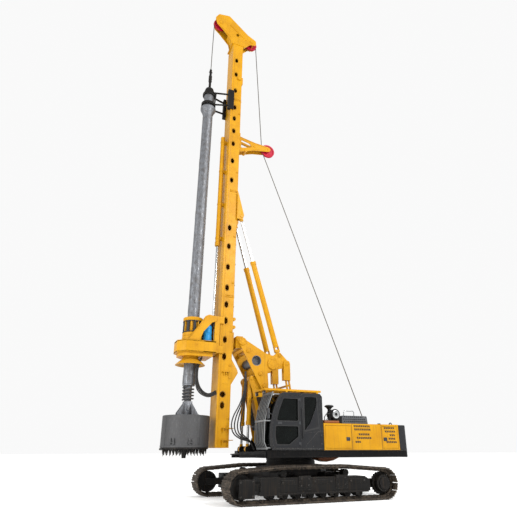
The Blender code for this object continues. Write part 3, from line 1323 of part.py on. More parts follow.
def build_drilling_line():
    build_crowd()
    build_carriage()
    build_sleeve()
    build_follower()
    build_kelly()
    build_bucket()


def main():
    clear_scene()
    start_collections()
    build_undercarriage()
    build_platform()
    build_winch()
    build_counterweight()
    build_housing()
    build_cab()
    build_linkage()
    build_mast()
    build_mast_head()
    build_guide_arm()
    build_mast_stays()
    build_drilling_line()


main()
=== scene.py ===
"""Looks of the tracked rotary piling rig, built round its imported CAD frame.

Every piece is modelled in metres from the slewing axis and shifted once, when it is finished, to
the frame's own origin. Each sub-assembly is a class that builds its pieces and dresses them.
"""

import json
import logging
import math
from collections.abc import Iterable, Sequence
from dataclasses import dataclass, field
from enum import Enum

import bmesh
import bpy
from mathutils import Matrix, Vector
from mathutils.geometry import convex_hull_2d
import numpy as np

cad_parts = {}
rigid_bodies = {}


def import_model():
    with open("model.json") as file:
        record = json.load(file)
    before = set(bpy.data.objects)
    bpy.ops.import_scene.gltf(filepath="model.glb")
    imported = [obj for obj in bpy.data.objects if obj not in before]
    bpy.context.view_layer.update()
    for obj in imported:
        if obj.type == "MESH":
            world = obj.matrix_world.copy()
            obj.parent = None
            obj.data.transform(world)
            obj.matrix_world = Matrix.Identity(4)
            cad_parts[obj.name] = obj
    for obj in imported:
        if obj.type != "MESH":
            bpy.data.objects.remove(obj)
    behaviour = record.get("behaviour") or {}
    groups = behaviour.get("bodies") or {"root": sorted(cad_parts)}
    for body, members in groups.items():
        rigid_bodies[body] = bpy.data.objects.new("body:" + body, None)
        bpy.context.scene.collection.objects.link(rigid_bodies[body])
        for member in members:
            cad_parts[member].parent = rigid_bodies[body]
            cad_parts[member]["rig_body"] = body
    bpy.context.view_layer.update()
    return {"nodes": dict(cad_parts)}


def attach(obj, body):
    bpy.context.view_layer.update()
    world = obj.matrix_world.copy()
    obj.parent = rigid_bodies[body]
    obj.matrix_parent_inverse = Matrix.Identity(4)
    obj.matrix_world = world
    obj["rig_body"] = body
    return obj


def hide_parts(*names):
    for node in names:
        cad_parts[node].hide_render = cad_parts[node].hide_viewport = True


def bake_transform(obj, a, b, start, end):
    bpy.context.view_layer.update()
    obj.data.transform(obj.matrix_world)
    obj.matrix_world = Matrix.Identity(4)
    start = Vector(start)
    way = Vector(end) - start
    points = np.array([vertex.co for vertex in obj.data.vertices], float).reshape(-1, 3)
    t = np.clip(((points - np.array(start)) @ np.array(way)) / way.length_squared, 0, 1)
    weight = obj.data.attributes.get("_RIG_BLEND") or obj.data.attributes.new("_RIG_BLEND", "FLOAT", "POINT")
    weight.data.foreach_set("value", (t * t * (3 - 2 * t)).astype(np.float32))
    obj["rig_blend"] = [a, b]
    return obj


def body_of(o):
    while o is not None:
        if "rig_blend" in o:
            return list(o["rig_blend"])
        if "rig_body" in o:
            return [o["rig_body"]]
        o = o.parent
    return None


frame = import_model()

LOG = logging.getLogger("piling_rig")
OFFSET_X = -0.272  # the slewing axis, seen from the middle of the whole machine
Point = tuple[float, float]
Corner = tuple[float, ...]
Mesh = bmesh.types.BMesh
Verts = list[bmesh.types.BMVert]
Tree = bpy.types.NodeTree
Node = bpy.types.Node
Socket = bpy.types.NodeSocket
Place = tuple[float, float, float]
CLIPPED_PRODUCT = {"operation": "MULTIPLY", "use_clamp": True}
WELD = 1e-6  # how near two points of a new piece count as one
CAD_WELD = 2e-5  # the same for the loose triangles of a CAD node
FLAT = math.radians(0.6)  # below this turn two CAD triangles are one face
CREASE = math.radians(40)  # past this turn an edge is rounded


class Axis(Enum):
    """The row axis that a turned piece spins about."""

    X = "X"
    Y = "Y"
    Z = "Z"


class Side(Enum):
    """A side of the machine, by the sign of its Y."""

    LEFT = 1
    RIGHT = -1

    @property
    def word(self) -> str:
        """Returns the side's name as the bodies and nodes write it."""
        return self.name.lower()


class Role(Enum):
    """What a cylinder of the linkage does."""

    LUFF = "luff"
    STAY = "stay"


class Soil(Enum):
    """How much of the site lies on a painted piece, from 0 to 1."""

    CLEAN = 0.18
    DUSTY = 0.42
    DIRTY = 0.75


def linear(code: str) -> tuple[float, float, float, float]:
    """Turns an sRGB hex colour into linear RGBA.

    Args:
        code: Six hex digits.

    Returns:
        The linear colour with alpha 1.
    """
    parts = [int(code[i : i + 2], 16) / 255 for i in (0, 2, 4)]
    return (*(p / 12.92 if p <= 0.04045 else ((p + 0.055) / 1.055) ** 2.4 for p in parts), 1.0)


def feed(tree: Tree, node: Node, links: dict) -> None:
    """Feeds a node's inputs.

    Args:
        tree: The node tree.
        node: The node.
        links: What feeds each input, by its name or number: a socket, or a plain value.
    """
    for name, value in links.items():
        if isinstance(value, Socket):
            tree.links.new(value, node.inputs[name])
        else:
            node.inputs[name].default_value = value


def add(tree: Tree, kind: str, links: dict | None = None, out: int | str = 0, **settings) -> Socket:
    """Adds one node with its settings and links, and gives one of its outputs.

    Args:
        tree: The node tree.
        kind: The node's type without its ShaderNode prefix.
        links: What feeds each input, as in feed.
        out: The output to give, by its name or number.
        **settings: Attributes of the node.

    Returns:
        The output.
    """
    made = tree.nodes.new("ShaderNode" + kind)
    for name, value in settings.items():
        setattr(made, name, value)
    feed(tree, made, links or {})
    return made.outputs[out]


def blotches(
    tree: Tree,
    place: Socket,
    grain_mm: float,
    detail: float,
    band: Point | None = None,
    stretch: float = 1.0,
) -> Socket:
    """Draws clouds whose blotches have a real size.

    Args:
        tree: The node tree.
        place: The coordinates.
        grain_mm: The size of a blotch.
        detail: How many finer layers it has.
        band: The values that become 0 and 1, if it is cut off.
        stretch: How many times longer a blotch is along Z.

    Returns:
        The pattern, from 0 to 1.
    """
    if stretch != 1.0:
        place = add(tree, "Mapping", {"Vector": place, "Scale": (1, 1, 1 / stretch)})
    cloud = add(tree, "TexNoise", {"Vector": place, "Scale": 1000 / grain_mm, "Detail": detail}, "Fac")
    if band is None:
        return cloud
    return add(tree, "MapRange", {"Value": cloud, "From Min": band[0], "From Max": band[1]})


def layered(tree: Tree, colour: str, layers: Iterable[tuple[Socket, float, str]]) -> Socket:
    """Lays colours over a first one, one after the other.

    Args:
        tree: The node tree.
        colour: The first colour in hex.
        layers: Each layer's pattern, how strongly it shows, and its colour in hex.

    Returns:
        The colour.
    """
    base = linear(colour)
    for pattern, strength, code in layers:
        if strength != 1.0:
            pattern = add(tree, "Math", {0: pattern, 1: strength}, **CLIPPED_PRODUCT)
        base = add(tree, "Mix", {0: pattern, 6: base, 7: linear(code)}, 2, data_type="RGBA")
    return base


class Finish:
    """A surface: it makes its material once and keeps it."""

    def material(self) -> bpy.types.Material:
        """Makes the material at its first use.

        Returns:
            The material.
        """
        found = bpy.data.materials.get(self.name)
        if found:
            return found
        made = bpy.data.materials.new(self.name)
        made.use_nodes = True
        tree = made.node_tree
        self.dress(tree, tree.nodes["Principled BSDF"], add(tree, "TexCoord", out="Object"))
        return made

    def dress(self, tree: Tree, shader: Node, place: Socket) -> None:
        """Builds the pattern that feeds the shader."""
        raise NotImplementedError


@dataclass(frozen=True)
class MachinePaint(Finish):
    """Sprayed two-pack enamel on steel plate: glossy, with orange peel, faded patches and dust."""

    name: str
    slot: str
    colour: str
    faded: str
    soil: Soil = Soil.DUSTY
    dust: str = "A3813F"
    roughness: float = 0.38
    # The edges' colour: worn paint, and on the dark paints a paler grey that also paints their highlights.
    edge: str = "8A5A1C"
    edge_wear: float = 0.55
    shine: float = 0.25
    rain: str = "4A3B2A"
    primer: str = "5B3A24"

    def dress(self, tree: Tree, shader: Node, place: Socket) -> None:
        """Faded patches of half a metre, rain streaks 40 mm wide and dust on what faces up.

        Args:
            tree: The material's nodes.
            shader: The shader to feed.
            place: The coordinates on the piece.
        """
        soil = self.soil.value
        normal = add(tree, "NewGeometry", out="Normal")
        up = add(tree, "SeparateXYZ", {"Vector": normal}, "Z")
        up = add(tree, "MapRange", {"Value": up, "From Min": 0.2, "From Max": 1.0})
        clouds = blotches(tree, place, 90, 6, (0.35, 0.65))
        settled = add(tree, "Math", {0: up, 1: clouds}, **CLIPPED_PRODUCT)
        # Edges are marked where the surface turns within 12 mm, broken up by blotches of 60 mm: worn paint
        # on the yellow, and on the dark paints a paler colour that is a painted highlight as well as wear.
        soft = add(tree, "Bevel", {"Radius": 0.012}, samples=4)
        turn = add(tree, "VectorMath", {0: soft, 1: normal}, "Value", operation="DOT_PRODUCT")
        turn = add(tree, "MapRange", {"Value": turn, "From Min": 0.97, "From Max": 0.80})
        clouds = blotches(tree, place, 60, 6, (0.35, 0.6))
        rubbed = add(tree, "Math", {0: turn, 1: clouds}, **CLIPPED_PRODUCT)
        layers = (
            (blotches(tree, place, 520, 5, (0.35, 0.7)), 1.0, self.faded),
            (blotches(tree, place, 42, 3, (0.52, 0.78), 18), soil * 0.55, self.rain),
            (settled, soil, self.dust),
            # Only the peaks of these clouds show: chips of about 15 mm, down to the primer.
            (blotches(tree, place, 26, 8, (0.70, 0.73)), soil, self.primer),
            (rubbed, self.edge_wear, self.edge),
        )
        low, high = self.roughness - 0.08, self.roughness + 0.22
        rough = {"Value": blotches(tree, place, 130, 5), "To Min": low, "To Max": high}
        # Orange peel is 3 mm across, drawn at 9 mm so that it shows.
        peel = {"Height": blotches(tree, place, 9, 2), "Distance": 0.25 / 1000, "Strength": 1.0}
        links = {
            "Base Color": layered(tree, self.colour, layers),
            "Roughness": add(tree, "MapRange", rough),
            "Normal": add(tree, "Bump", peel),
            "Coat Weight": 0.04,
            "Coat Roughness": 0.25,
            "Specular IOR Level": self.shine,
        }
        feed(tree, shader, links)


@dataclass(frozen=True)
class BareSteel(Finish):
    """Bare drill-tool steel: dull grey, rubbed bright along the bar, rusty and greasy between."""

    name: str
    slot: str
    colour: str
    rust: str
    worn: str
    stretch: float = 14.0
    rusty: float = 0.5

    def dress(self, tree: Tree, shader: Node, place: Socket) -> None:
        """Rub marks 16 mm wide and 220 mm long over rust patches of 150 mm.

        Args:
            tree: The material's nodes.
            shader: The shader to feed.
            place: The coordinates on the piece.
        """
        rubbed = blotches(tree, place, 16, 4, (0.55, 0.7), self.stretch)
        rust = blotches(tree, place, 150, 8, (0.45, 0.68))
        layers = ((rust, self.rusty, self.rust), (rubbed, 0.65, self.worn))
        pits = {"Height": blotches(tree, place, 12, 6), "Distance": 0.8 / 1000, "Strength": 1.0}
        links = {
            "Base Color": layered(tree, self.colour, layers),
            "Metallic": 0.75,
            "Roughness": add(tree, "MapRange", {"Value": rubbed, "To Min": 0.62, "To Max": 0.36}),
            "Normal": add(tree, "Bump", pits),
        }
        feed(tree, shader, links)


@dataclass(frozen=True)
class MuddySteel(Finish):
    """Rolled track steel: brown with dried earth in its hollows, rubbed grey where it treads."""

    name: str = "rolled_steel_with_dried_earth"
    slot: str = "track_steel"

    def dress(self, tree: Tree, shader: Node, place: Socket) -> None:
        """Clods of 60 mm over steel that is dark in its gaps.

        Args:
            tree: The material's nodes.
            shader: The shader to feed.
            place: The coordinates on the piece.
        """
        layers = (
            (blotches(tree, place, 60, 8, (0.42, 0.62)), 1.0, "4E4338"),
            (blotches(tree, place, 220, 6, (0.5, 0.75)), 0.6, "7A6C5C"),
        )
        clods = {"Height": blotches(tree, place, 22, 8), "Distance": 3.0 / 1000, "Strength": 1.0}
        links = {
            "Base Color": layered(tree, "221D18", layers),
            "Metallic": 0.25,
            "Roughness": 0.78,
            "Normal": add(tree, "Bump", clods),
        }
        feed(tree, shader, links)


@dataclass(frozen=True)
class Chrome(Finish):
    """Hard chrome on a ground rod: a mirror with a faint film of oil."""

    name: str = "hard_chromed_rod"
    slot: str = "chromed_rod"

    def dress(self, tree: Tree, shader: Node, place: Socket) -> None:
        """An oil film in patches of 80 mm.

        Args:
            tree: The material's nodes.
            shader: The shader to feed.
            place: The coordinates on the piece.
        """
        film = blotches(tree, place, 80, 4, stretch=5)
        links = {
            "Base Color": layered(tree, "C9CCCE", ((film, 1.0, "9B9C9A"),)),
            "Metallic": 1.0,
            "Roughness": add(tree, "MapRange", {"Value": film, "To Min": 0.08, "To Max": 0.32}),
        }
        feed(tree, shader, links)


@dataclass(frozen=True)
class Rubber(Finish):
    """Extruded hose rubber: dull black with a woven print and grey dust."""

    name: str = "hydraulic_hose_rubber"
    slot: str = "black_steel"

    def dress(self, tree: Tree, shader: Node, place: Socket) -> None:
        """Dust patches of 70 mm on black.

        Args:
            tree: The material's nodes.
            shader: The shader to feed.
            place: The coordinates on the piece.
        """
        dust = blotches(tree, place, 70, 5, (0.45, 0.8))
        weave = {"Height": blotches(tree, place, 6, 2), "Distance": 0.3 / 1000, "Strength": 1.0}
        links = {
            "Base Color": layered(tree, "0F0F10", ((dust, 1.0, "35322E"),)),
            "Roughness": 0.62,
            "Normal": add(tree, "Bump", weave),
        }
        feed(tree, shader, links)


@dataclass(frozen=True)
class WireRope(Finish):
    """Galvanised wire rope: strands laid round it, dark with grease."""

    name: str = "greased_wire_rope"
    slot: str = "worn_steel"

    def dress(self, tree: Tree, shader: Node, place: Socket) -> None:
        """Strands a real 9 mm apart, drawn 40 mm apart along the rope so that they show.

        Args:
            tree: The material's nodes.
            shader: The shader to feed.
            place: The coordinates on the piece.
        """
        wave = {"Vector": place, "Scale": 8.0, "Distortion": 1.5}
        wave = add(tree, "TexWave", wave, "Fac", bands_direction="Z")
        strands = {"Height": wave, "Distance": 2.0 / 1000, "Strength": 1.0}
        links = {
            "Base Color": layered(tree, "3E3C38", ((wave, 1.0, "6E6A62"),)),
            "Metallic": 0.6,
            "Roughness": 0.5,
            "Normal": add(tree, "Bump", strands),
        }
        feed(tree, shader, links)


@dataclass(frozen=True)
class SheetGlass(Finish):
    """Laminated cab glass, tinted green-grey: it reflects the sky, and being near-black and mostly opaque it
    paints the shade inside the cab as well as its tint.
    """

    name: str = "tinted_laminated_glass"
    slot: str = "window_glass"

    def dress(self, tree: Tree, shader: Node, place: Socket) -> None:
        """A faint film of dust in patches of 300 mm.

        Args:
            tree: The material's nodes.
            shader: The shader to feed.
            place: The coordinates on the piece.
        """
        film = blotches(tree, place, 300, 6, (0.4, 0.9))
        links = {
            "Base Color": layered(tree, "040706", ((film, 1.0, "0B0F0E"),)),
            "Roughness": add(tree, "MapRange", {"Value": film, "To Min": 0.03, "To Max": 0.16}),
            "IOR": 1.52,
            # Nine tenths opaque over a near-black colour: painted shade of the cab's inside, besides the
            # tint.
            "Alpha": 0.90,
            "Specular IOR Level": 0.15,
        }
        feed(tree, shader, links)


@dataclass(frozen=True)
class Moulded(Finish):
    """Moulded plastic or cast rubber: even colour, fine leather grain."""

    name: str
    slot: str
    colour: str
    light: str
    roughness: float = 0.55
    grain_mm: float = 7.0

    def dress(self, tree: Tree, shader: Node, place: Socket) -> None:
        """A grain of 2 mm drawn at the given size so that it shows.

        Args:
            tree: The material's nodes.
            shader: The shader to feed.
            place: The coordinates on the piece.
        """
        pale = blotches(tree, place, 160, 4, (0.4, 0.75))
        cells = add(tree, "TexVoronoi", {"Vector": place, "Scale": 1000 / self.grain_mm}, "Distance")
        grain = {"Height": cells, "Distance": 0.3 / 1000, "Strength": 1.0}
        links = {
            "Base Color": layered(tree, self.colour, ((pale, 1.0, self.light),)),
            "Roughness": self.roughness,
            "Normal": add(tree, "Bump", grain),
        }
        feed(tree, shader, links)


@dataclass(frozen=True)
class WovenCloth(Finish):
    """Woven seat cloth: dark thread crossing a lighter one, with a soft sheen."""

    name: str = "woven_seat_cloth"
    slot: str = "seat_cloth"

    def dress(self, tree: Tree, shader: Node, place: Socket) -> None:
        """Threads 2 mm apart, drawn 8 mm apart so that they show.

        Args:
            tree: The material's nodes.
            shader: The shader to feed.
            place: The coordinates on the piece.
        """
        threads = {"Vector": place, "Scale": 40.0}
        weft = add(tree, "TexWave", threads, "Fac", bands_direction="Y")
        warp = add(tree, "TexWave", threads, "Fac", bands_direction="Z")
        weave = add(tree, "Math", {0: weft, 1: warp}, **CLIPPED_PRODUCT)
        raised = {"Height": weave, "Distance": 1.0 / 1000, "Strength": 1.0}
        links = {
            "Base Color": layered(tree, "17181A", ((weave, 1.0, "3A3C40"),)),
            "Roughness": 0.92,
            "Sheen Weight": 0.4,
            "Normal": add(tree, "Bump", raised),
        }
        feed(tree, shader, links)


@dataclass(frozen=True)
class FloorCoat(Finish):
    """A plain pale studio floor: matt, with the faintest cloud in it."""

    name: str = "pale_matt_floor"

    def dress(self, tree: Tree, shader: Node, place: Socket) -> None:
        """Clouds of two metres, and a little light of its own to keep its far part pale.

        Args:
            tree: The material's nodes.
            shader: The shader to feed.
            place: The coordinates on the piece.
        """
        clouds = blotches(tree, place, 2000, 3)
        links = {
            "Base Color": layered(tree, "F4F4F3", ((clouds, 1.0, "EEEEEC"),)),
            "Roughness": 0.9,
            "Emission Color": linear("FFFFFF"),
            "Emission Strength": 0.22,
        }
        feed(tree, shader, links)


# Golden yellow on most of the machine: soft gloss, a little faded, dusty on top.
YELLOW = MachinePaint("sprayed_golden_yellow_enamel", "yellow_paint", "BF8A0E", "B07B0B", shine=0.14)
# Near-black grey on the cab and the counterweight: clean, with pale edges that are painted highlights along
# its creases as well as wear.
ANTHRACITE = MachinePaint(
    "sprayed_anthracite_enamel", "dark_paint", "1C1D20", "232426", Soil.CLEAN, "3C362E", edge="8A8783",
    shine=0.16
)
# The crawler frame: the same grey under soil, almost black, dull.
CHASSIS = MachinePaint(
    "soiled_anthracite_enamel", "dark_paint", "100F0F", "171615", Soil.DUSTY, "3E362D", 0.5,
    edge="77746F", shine=0.10
)
# Small fittings: flat black with a faint shine.
BLACK = MachinePaint(
    "baked_black_enamel", "black_steel", "0F0F10", "171718", Soil.CLEAN, "35312B", 0.42, edge="6A6762",
    shine=0.12
)
# The cast rope sheaves: the one strong red high on the mast.
CRIMSON = MachinePaint(
    "sprayed_crimson_enamel", "red_paint", "B01030", "9A1230", Soil.CLEAN, edge="6A1220"
)
# The drive motors in their maker's blue.
AZURE = MachinePaint(
    "sprayed_azure_enamel", "yellow_paint", "1C7DB4", "1B6E9C", Soil.CLEAN, edge="174A66"
)
# The silencer's shield: browned by heat, dusty.
OCHRE = MachinePaint("heat_browned_enamel", "black_steel", "8A4E22", "6E3B1C", Soil.DUSTY)
# The drill stem: grey steel rubbed bright in long streaks.
KELLY = BareSteel("rubbed_drill_tube_steel", "worn_steel", "6F7175", "4E4640", "9DA0A4")
# The bucket: darker steel, oily, hardly rusty.
TOOL = BareSteel("oiled_tool_steel", "worn_steel", "505051", "4E4A45", "5E5E5E", 5.0, 0.16)
# The teeth: nearly black with earth, with short rubbed streaks.
PICKS = BareSteel("soiled_pick_steel", "worn_steel", "1E1D1C", "2C2621", "4A4846", 3.0, 0.6)
MUD = MuddySteel()
CHROME = Chrome()
RUBBER = Rubber()
ROPE = WireRope()
GLASS = SheetGlass()
CLOTH = WovenCloth()
# Door and window rubber: flat black lines round the glass.
SEAL = Moulded("moulded_black_seal", "black_steel", "0D0D0E", "1A1A1B", 0.6)
# Latches, console and lamps: charcoal plastic with a fine grain.
PANEL = Moulded("moulded_charcoal_plastic", "black_steel", "222326", "303236", 0.6)
# The deck under the housing: the darkest band on the machine.
DECK = MachinePaint(
    "baked_deck_enamel", "dark_paint", "0A0A0B", "0F0F10", Soil.CLEAN, "2A2621", 0.5, edge="4A4844",
    shine=0.08
)
# Bars over the front window: pale grey against the dark glass, a painted highlight on the bars, paler still
# at their edges.
GUARD = MachinePaint(
    "galvanised_bar_enamel", "dark_paint", "6C6E70", "7A7C7D", Soil.CLEAN, "5A5145", edge="B0AEA8"
)
# The cooler's cage: mid-grey sheet.
CAGE = MachinePaint(
    "perforated_sheet_enamel", "dark_paint", "45474B", "515357", Soil.CLEAN, "5A5145", edge="8A8780"
)
# Painted shade in the recess of a louvre, round the mast's slots and over the boom's openings: a warm shadow
# on the yellow panel.
SLIT_SHADE = Moulded("shadowed_louvre_recess", "black_steel", "2A1B0C", "3A260F", 0.7)
# The stem's spring: dark lacquer, dusty.
SPRING = MachinePaint("oiled_spring_steel_lacquer", "dark_paint", "2E3033", "3C3E41", Soil.DUSTY)
FLOOR = FloorCoat()


# Shapes: each adds to a bmesh with bmesh operators, in metres from the slewing axis.

SINK = 0.004  # how far a fitted plate reaches into its face, so that no gap shows


def about(middle: float, half: float) -> Point:
    """Gives the two ends of a length about its middle."""
    return (middle - half, middle + half)


def on_face(face: float, sign: int, out: float, sunk: float = SINK) -> Point:
    """Gives the two ends across Y of a plate that sits on a side face.

    Args:
        face: The Y of the face.
        sign: 1 on the left and -1 on the right.
        out: How far the plate stands out.
        sunk: How far it reaches in.

    Returns:
        Its inner and outer end.
    """
    return (face - sign * sunk, face + sign * out)


def moved(bm: Mesh, verts: Sequence, matrix: Matrix) -> None:
    """Transforms the given vertices."""
    bmesh.ops.transform(bm, matrix=matrix, verts=verts)


def swung(bm: Mesh, verts: Sequence, x: float, angle: float) -> None:
    """Turns vertices made about the origin, and shifts them to an upright axis at x."""
    moved(bm, verts, Matrix.Translation((x, 0, 0)) @ Matrix.Rotation(angle, 4, "Z"))


def rounded(bm: Mesh, edges: list[bmesh.types.BMEdge], width: float) -> list[bmesh.types.BMFace]:
    """Rounds edges.

    Args:
        bm: The mesh.
        edges: The edges to round.
        width: How wide the rounding is.

    Returns:
        The new faces.
    """
    return bmesh.ops.bevel(
        bm,
        geom=edges,
        offset=width,
        segments=2,
        profile=0.5,
        affect="EDGES",
        material=-1,
        clamp_overlap=True,
    )["faces"]


def block(bm: Mesh, x: Point, y: Point, z: Point, bevel: float = 0.0) -> Verts:
    """Adds a block.

    Args:
        bm: The mesh to add to.
        x: Its ends along X.
        y: Its ends along Y.
        z: Its ends along Z.
        bevel: The width of its rounded edges.

    Returns:
        Its vertices.
    """
    size = [abs(pair[1] - pair[0]) for pair in (x, y, z)]
    centre = [sum(pair) / 2 for pair in (x, y, z)]
    place = Matrix.Translation(centre) @ Matrix.Diagonal((*size, 1))
    verts = bmesh.ops.create_cube(bm, size=1.0, matrix=place)["verts"]
    if bevel:
        made = rounded(
            bm, list(dict.fromkeys(edge for vert in verts for edge in vert.link_edges)), bevel
        )
        verts = list(dict.fromkeys(vert for face in made for vert in face.verts))
    return verts


def rod(
    bm: Mesh,
    start: Sequence[float],
    end: Sequence[float],
    radius: float,
    sides: int = 32,
    end_radius: float | None = None,
) -> Verts:
    """Adds a round bar or a cone between two points.

    Args:
        bm: The mesh to add to.
        start: The middle of its first end.
        end: The middle of its other end.
        radius: Its radius at the start.
        sides: How many sides it has.
        end_radius: Its radius at the end, if that differs.

    Returns:
        Its vertices.
    """
    first, last = Vector(start), Vector(end)
    run = last - first
    turn = Vector((0, 0, 1)).rotation_difference(run).to_matrix().to_4x4()
    return bmesh.ops.create_cone(
        bm,
        cap_ends=True,
        segments=sides,
        radius1=radius,
        radius2=radius if end_radius is None else end_radius,
        depth=run.length,
        matrix=Matrix.Translation((first + last) / 2) @ turn,
    )["verts"]


def beam(
    bm: Mesh, start: Sequence[
        float
    ], end: Sequence[float], width: float, height: float, bevel: float = 0.0
) -> None:
    """Adds a square bar between two points, its width across Y as far as it can be.

    Args:
        bm: The mesh to add to.
        start: The middle of its first end.
        end: The middle of its other end.
        width: Its size across Y.
        height: Its other size.
        bevel: The width of its rounded edges.
    """
    first, last = Vector(start), Vector(end)
    run = last - first
    along = run.normalized()
    side = Vector((0, 1, 0)) if abs(along.y) < 0.9 else Vector((1, 0, 0))
    up = along.cross(side).normalized()
    side = up.cross(along).normalized()
    verts = block(
        bm, (-width / 2, width / 2), (-height / 2, height / 2), (-run.length / 2, run.length / 2), bevel
    )
    moved(
        bm, verts,
        Matrix.Translation((first + last) / 2) @ Matrix((side, up, along)).transposed().to_4x4()
    )


def arc_points(
    centre: Point, radius: float, steps: int = 32, start: float = 0.0, sweep: float = math.tau
) -> list[Point]:
    """Lists points along an arc.

    Args:
        centre: The arc's centre.
        radius: Its radius.
        steps: How many points it has.
        start: Its first angle.
        sweep: How far it turns.

    Returns:
        The points, without the last one of a full turn.
    """
    return [
        (
            centre[0] + radius * math.cos(start + sweep * n / steps),
            centre[1] + radius * math.sin(start + sweep * n / steps)
        )
        for n in range(steps)
    ]


def softened(points: Sequence[Corner], steps: int = 6) -> list[Point]:
    """Rounds the corners of an outline that carry a radius.

    Args:
        points: Corners as (x, z) or (x, z, radius).
        steps: How many pieces each arc has.

    Returns:
        The outline with its arcs.
    """
    out: list[Point] = []
    for i, corner in enumerate(points):
        here = Vector(corner[:2])
        if len(corner) < 3:
            out.append((here.x, here.y))
            continue
        before = (Vector(points[i - 1][:2]) - here).normalized()
        after = (Vector(points[(i + 1) % len(points)][:2]) - here).normalized()
        half = before.angle(after) / 2
        centre = here + (before + after).normalized() * corner[2] / math.sin(half)
        first = here + before * corner[2] / math.tan(half) - centre
        last = here + after * corner[2] / math.tan(half) - centre
        start = math.atan2(first.y, first.x)
        sweep = (math.atan2(last.y, last.x) - start + math.pi) % math.tau - math.pi
        for n in range(steps + 1):
            angle = start + sweep * n / steps
            out.append((centre.x + corner[2] * math.cos(angle), centre.y + corner[2] * math.sin(angle)))
    return out


def oblong(x: float, z: float, wide: float, tall: float) -> list[Point]:
    """Lists an oblong about its middle, from half its width and half its height."""
    return [(x - wide, z - tall), (x + wide, z - tall), (x + wide, z + tall), (x - wide, z + tall)]


def flipped(profile: Sequence[Point]) -> list[Point]:
    """Lists a turned profile's mirror image, from its last point to its first."""
    return [(r, -h) for r, h in reversed(profile)]


def slot_outline(x: float, z: float, width: float, height: float, steps: int = 8) -> list[Point]:
    """Lists an upright slot with round ends, about its middle.

    Args:
        x: Its middle.
        z: Its middle's height.
        width: Its width.
        height: Its height.
        steps: How many pieces each end has.

    Returns:
        The outline.
    """
    reach = height / 2 - width / 2
    upper = [
        (
            x + width / 2 * math.cos(math.pi * n / steps),
            z + reach + width / 2 * math.sin(math.pi * n / steps)
        )
        for n in range(steps + 1)
    ]
    return upper + [(2 * x - p, 2 * z - q) for p, q in upper]


def plate(
    bm: Mesh,
    outline: Sequence[Point],
    low: float,
    high: float,
    holes: Iterable[Sequence[Point]] = (),
    axis: Axis = Axis.Y,
) -> Verts:
    """Adds a flat plate with holes, across Y from an (x, z) outline or across Z from an (x, y) one.

    Args:
        bm: The mesh to add to.
        outline: Its outer line.
        low: Where it starts.
        high: Where it ends.
        holes: Its holes' lines.
        axis: The axis across it.

    Returns:
        Its vertices.
    """
    edges = []
    for loop in (outline, *holes):
        verts = [bm.verts.new((p, low, q) if axis is Axis.Y else (p, q, low)) for p, q in loop]
        edges += [bm.edges.new(pair) for pair in zip(verts, verts[1:] + verts[:1])]
    filled = bmesh.ops.triangle_fill(bm, use_beauty=True, use_dissolve=False, edges=edges)["geom"]
    faces = [piece for piece in filled if isinstance(piece, bmesh.types.BMFace)]
    grown = bmesh.ops.extrude_face_region(bm, geom=faces, use_keep_orig=True)["geom"]
    top = [piece for piece in grown if isinstance(piece, bmesh.types.BMVert)]
    step = high - low
    bmesh.ops.translate(bm, vec=(0, step, 0) if axis is Axis.Y else (0, 0, step), verts=top)
    return list(dict.fromkeys(top + [vert for face in faces for vert in face.verts]))


def turned(
    bm: Mesh,
    profile: Sequence[Point],
    centre: Sequence[float],
    axis: Axis = Axis.Z,
    steps: int = 56,
) -> None:
    """Spins a closed profile of (radius, height) round an axis.

    Args:
        bm: The mesh to add to.
        profile: The profile; ends at radius 0 are closed on the axis.
        centre: Where height 0 lies.
        axis: The axis.
        steps: How many steps the turn has.
    """
    small = bmesh.new()
    verts = [small.verts.new((max(r, 0.0), 0, h)) for r, h in profile]
    edges = [small.edges.new(pair) for pair in zip(verts, verts[1:])]
    if profile[0][0] > 0 and profile[-1][0] > 0:
        edges.append(small.edges.new((verts[-1], verts[0])))
    bmesh.ops.spin(
        small, geom=verts + edges, cent=(
            0, 0, 0
        ), axis=(0, 0, 1), angle=math.tau, steps=steps, use_merge=True
    )
    bmesh.ops.remove_doubles(small, verts=small.verts, dist=1e-5)
    turn = {
        Axis.Z: Matrix(), Axis.Y: Matrix.Rotation(-math.pi / 2, 4, "X"),
        Axis.X: Matrix.Rotation(math.pi / 2, 4, "Y")
    }
    bmesh.ops.transform(small, matrix=Matrix.Translation(centre) @ turn[axis], verts=small.verts)
    mesh = bpy.data.meshes.new("turned")
    small.to_mesh(mesh)
    small.free()
    bm.from_mesh(mesh)
    bpy.data.meshes.remove(mesh)


def bolts(
    bm: Mesh, places: Iterable[Sequence[float]], out: Sequence[float], size: float = 0.022
) -> None:
    """Adds hexagon bolt heads with their washers.

    Args:
        bm: The mesh to add to.
        places: The points on the surface.
        out: The way out of the surface.
        size: The head's radius.
    """
    way = Vector(out)
    for place in places:
        spot = Vector(place)
        rod(bm, spot - way * 0.002, spot + way * size * 0.18, size * 1.35, 14)
        rod(bm, spot, spot + way * size * 0.8, size, 6)


def bolt_circle(
    bm: Mesh,
    centre: Point,
    radius: float,
    count: int,
    level: float,
    out: Sequence[float],
    size: float,
) -> None:
    """Sets bolts in a circle on a flat face that looks along Y or Z.

    Args:
        bm: The mesh to add to.
        centre: The circle's middle on the face.
        radius: Its radius.
        count: How many bolts it has.
        level: Where the face lies along the way out.
        out: The way out of the face.
        size: A head's radius.
    """
    ring = arc_points(centre, radius, count)
    bolts(bm, [(p, q, level) if out[2] else (p, level, q) for p, q in ring], out, size)


def mirrored_y(bm: Mesh) -> None:
    """Adds the mirror image of the whole mesh on the machine's other side.

    Args:
        bm: The mesh.
    """
    geom = list(bm.verts) + list(bm.edges) + list(bm.faces)
    copy = bmesh.ops.duplicate(bm, geom=geom)["geom"]
    verts = [piece for piece in copy if isinstance(piece, bmesh.types.BMVert)]
    bmesh.ops.scale(bm, vec=(1, -1, 1), verts=verts)


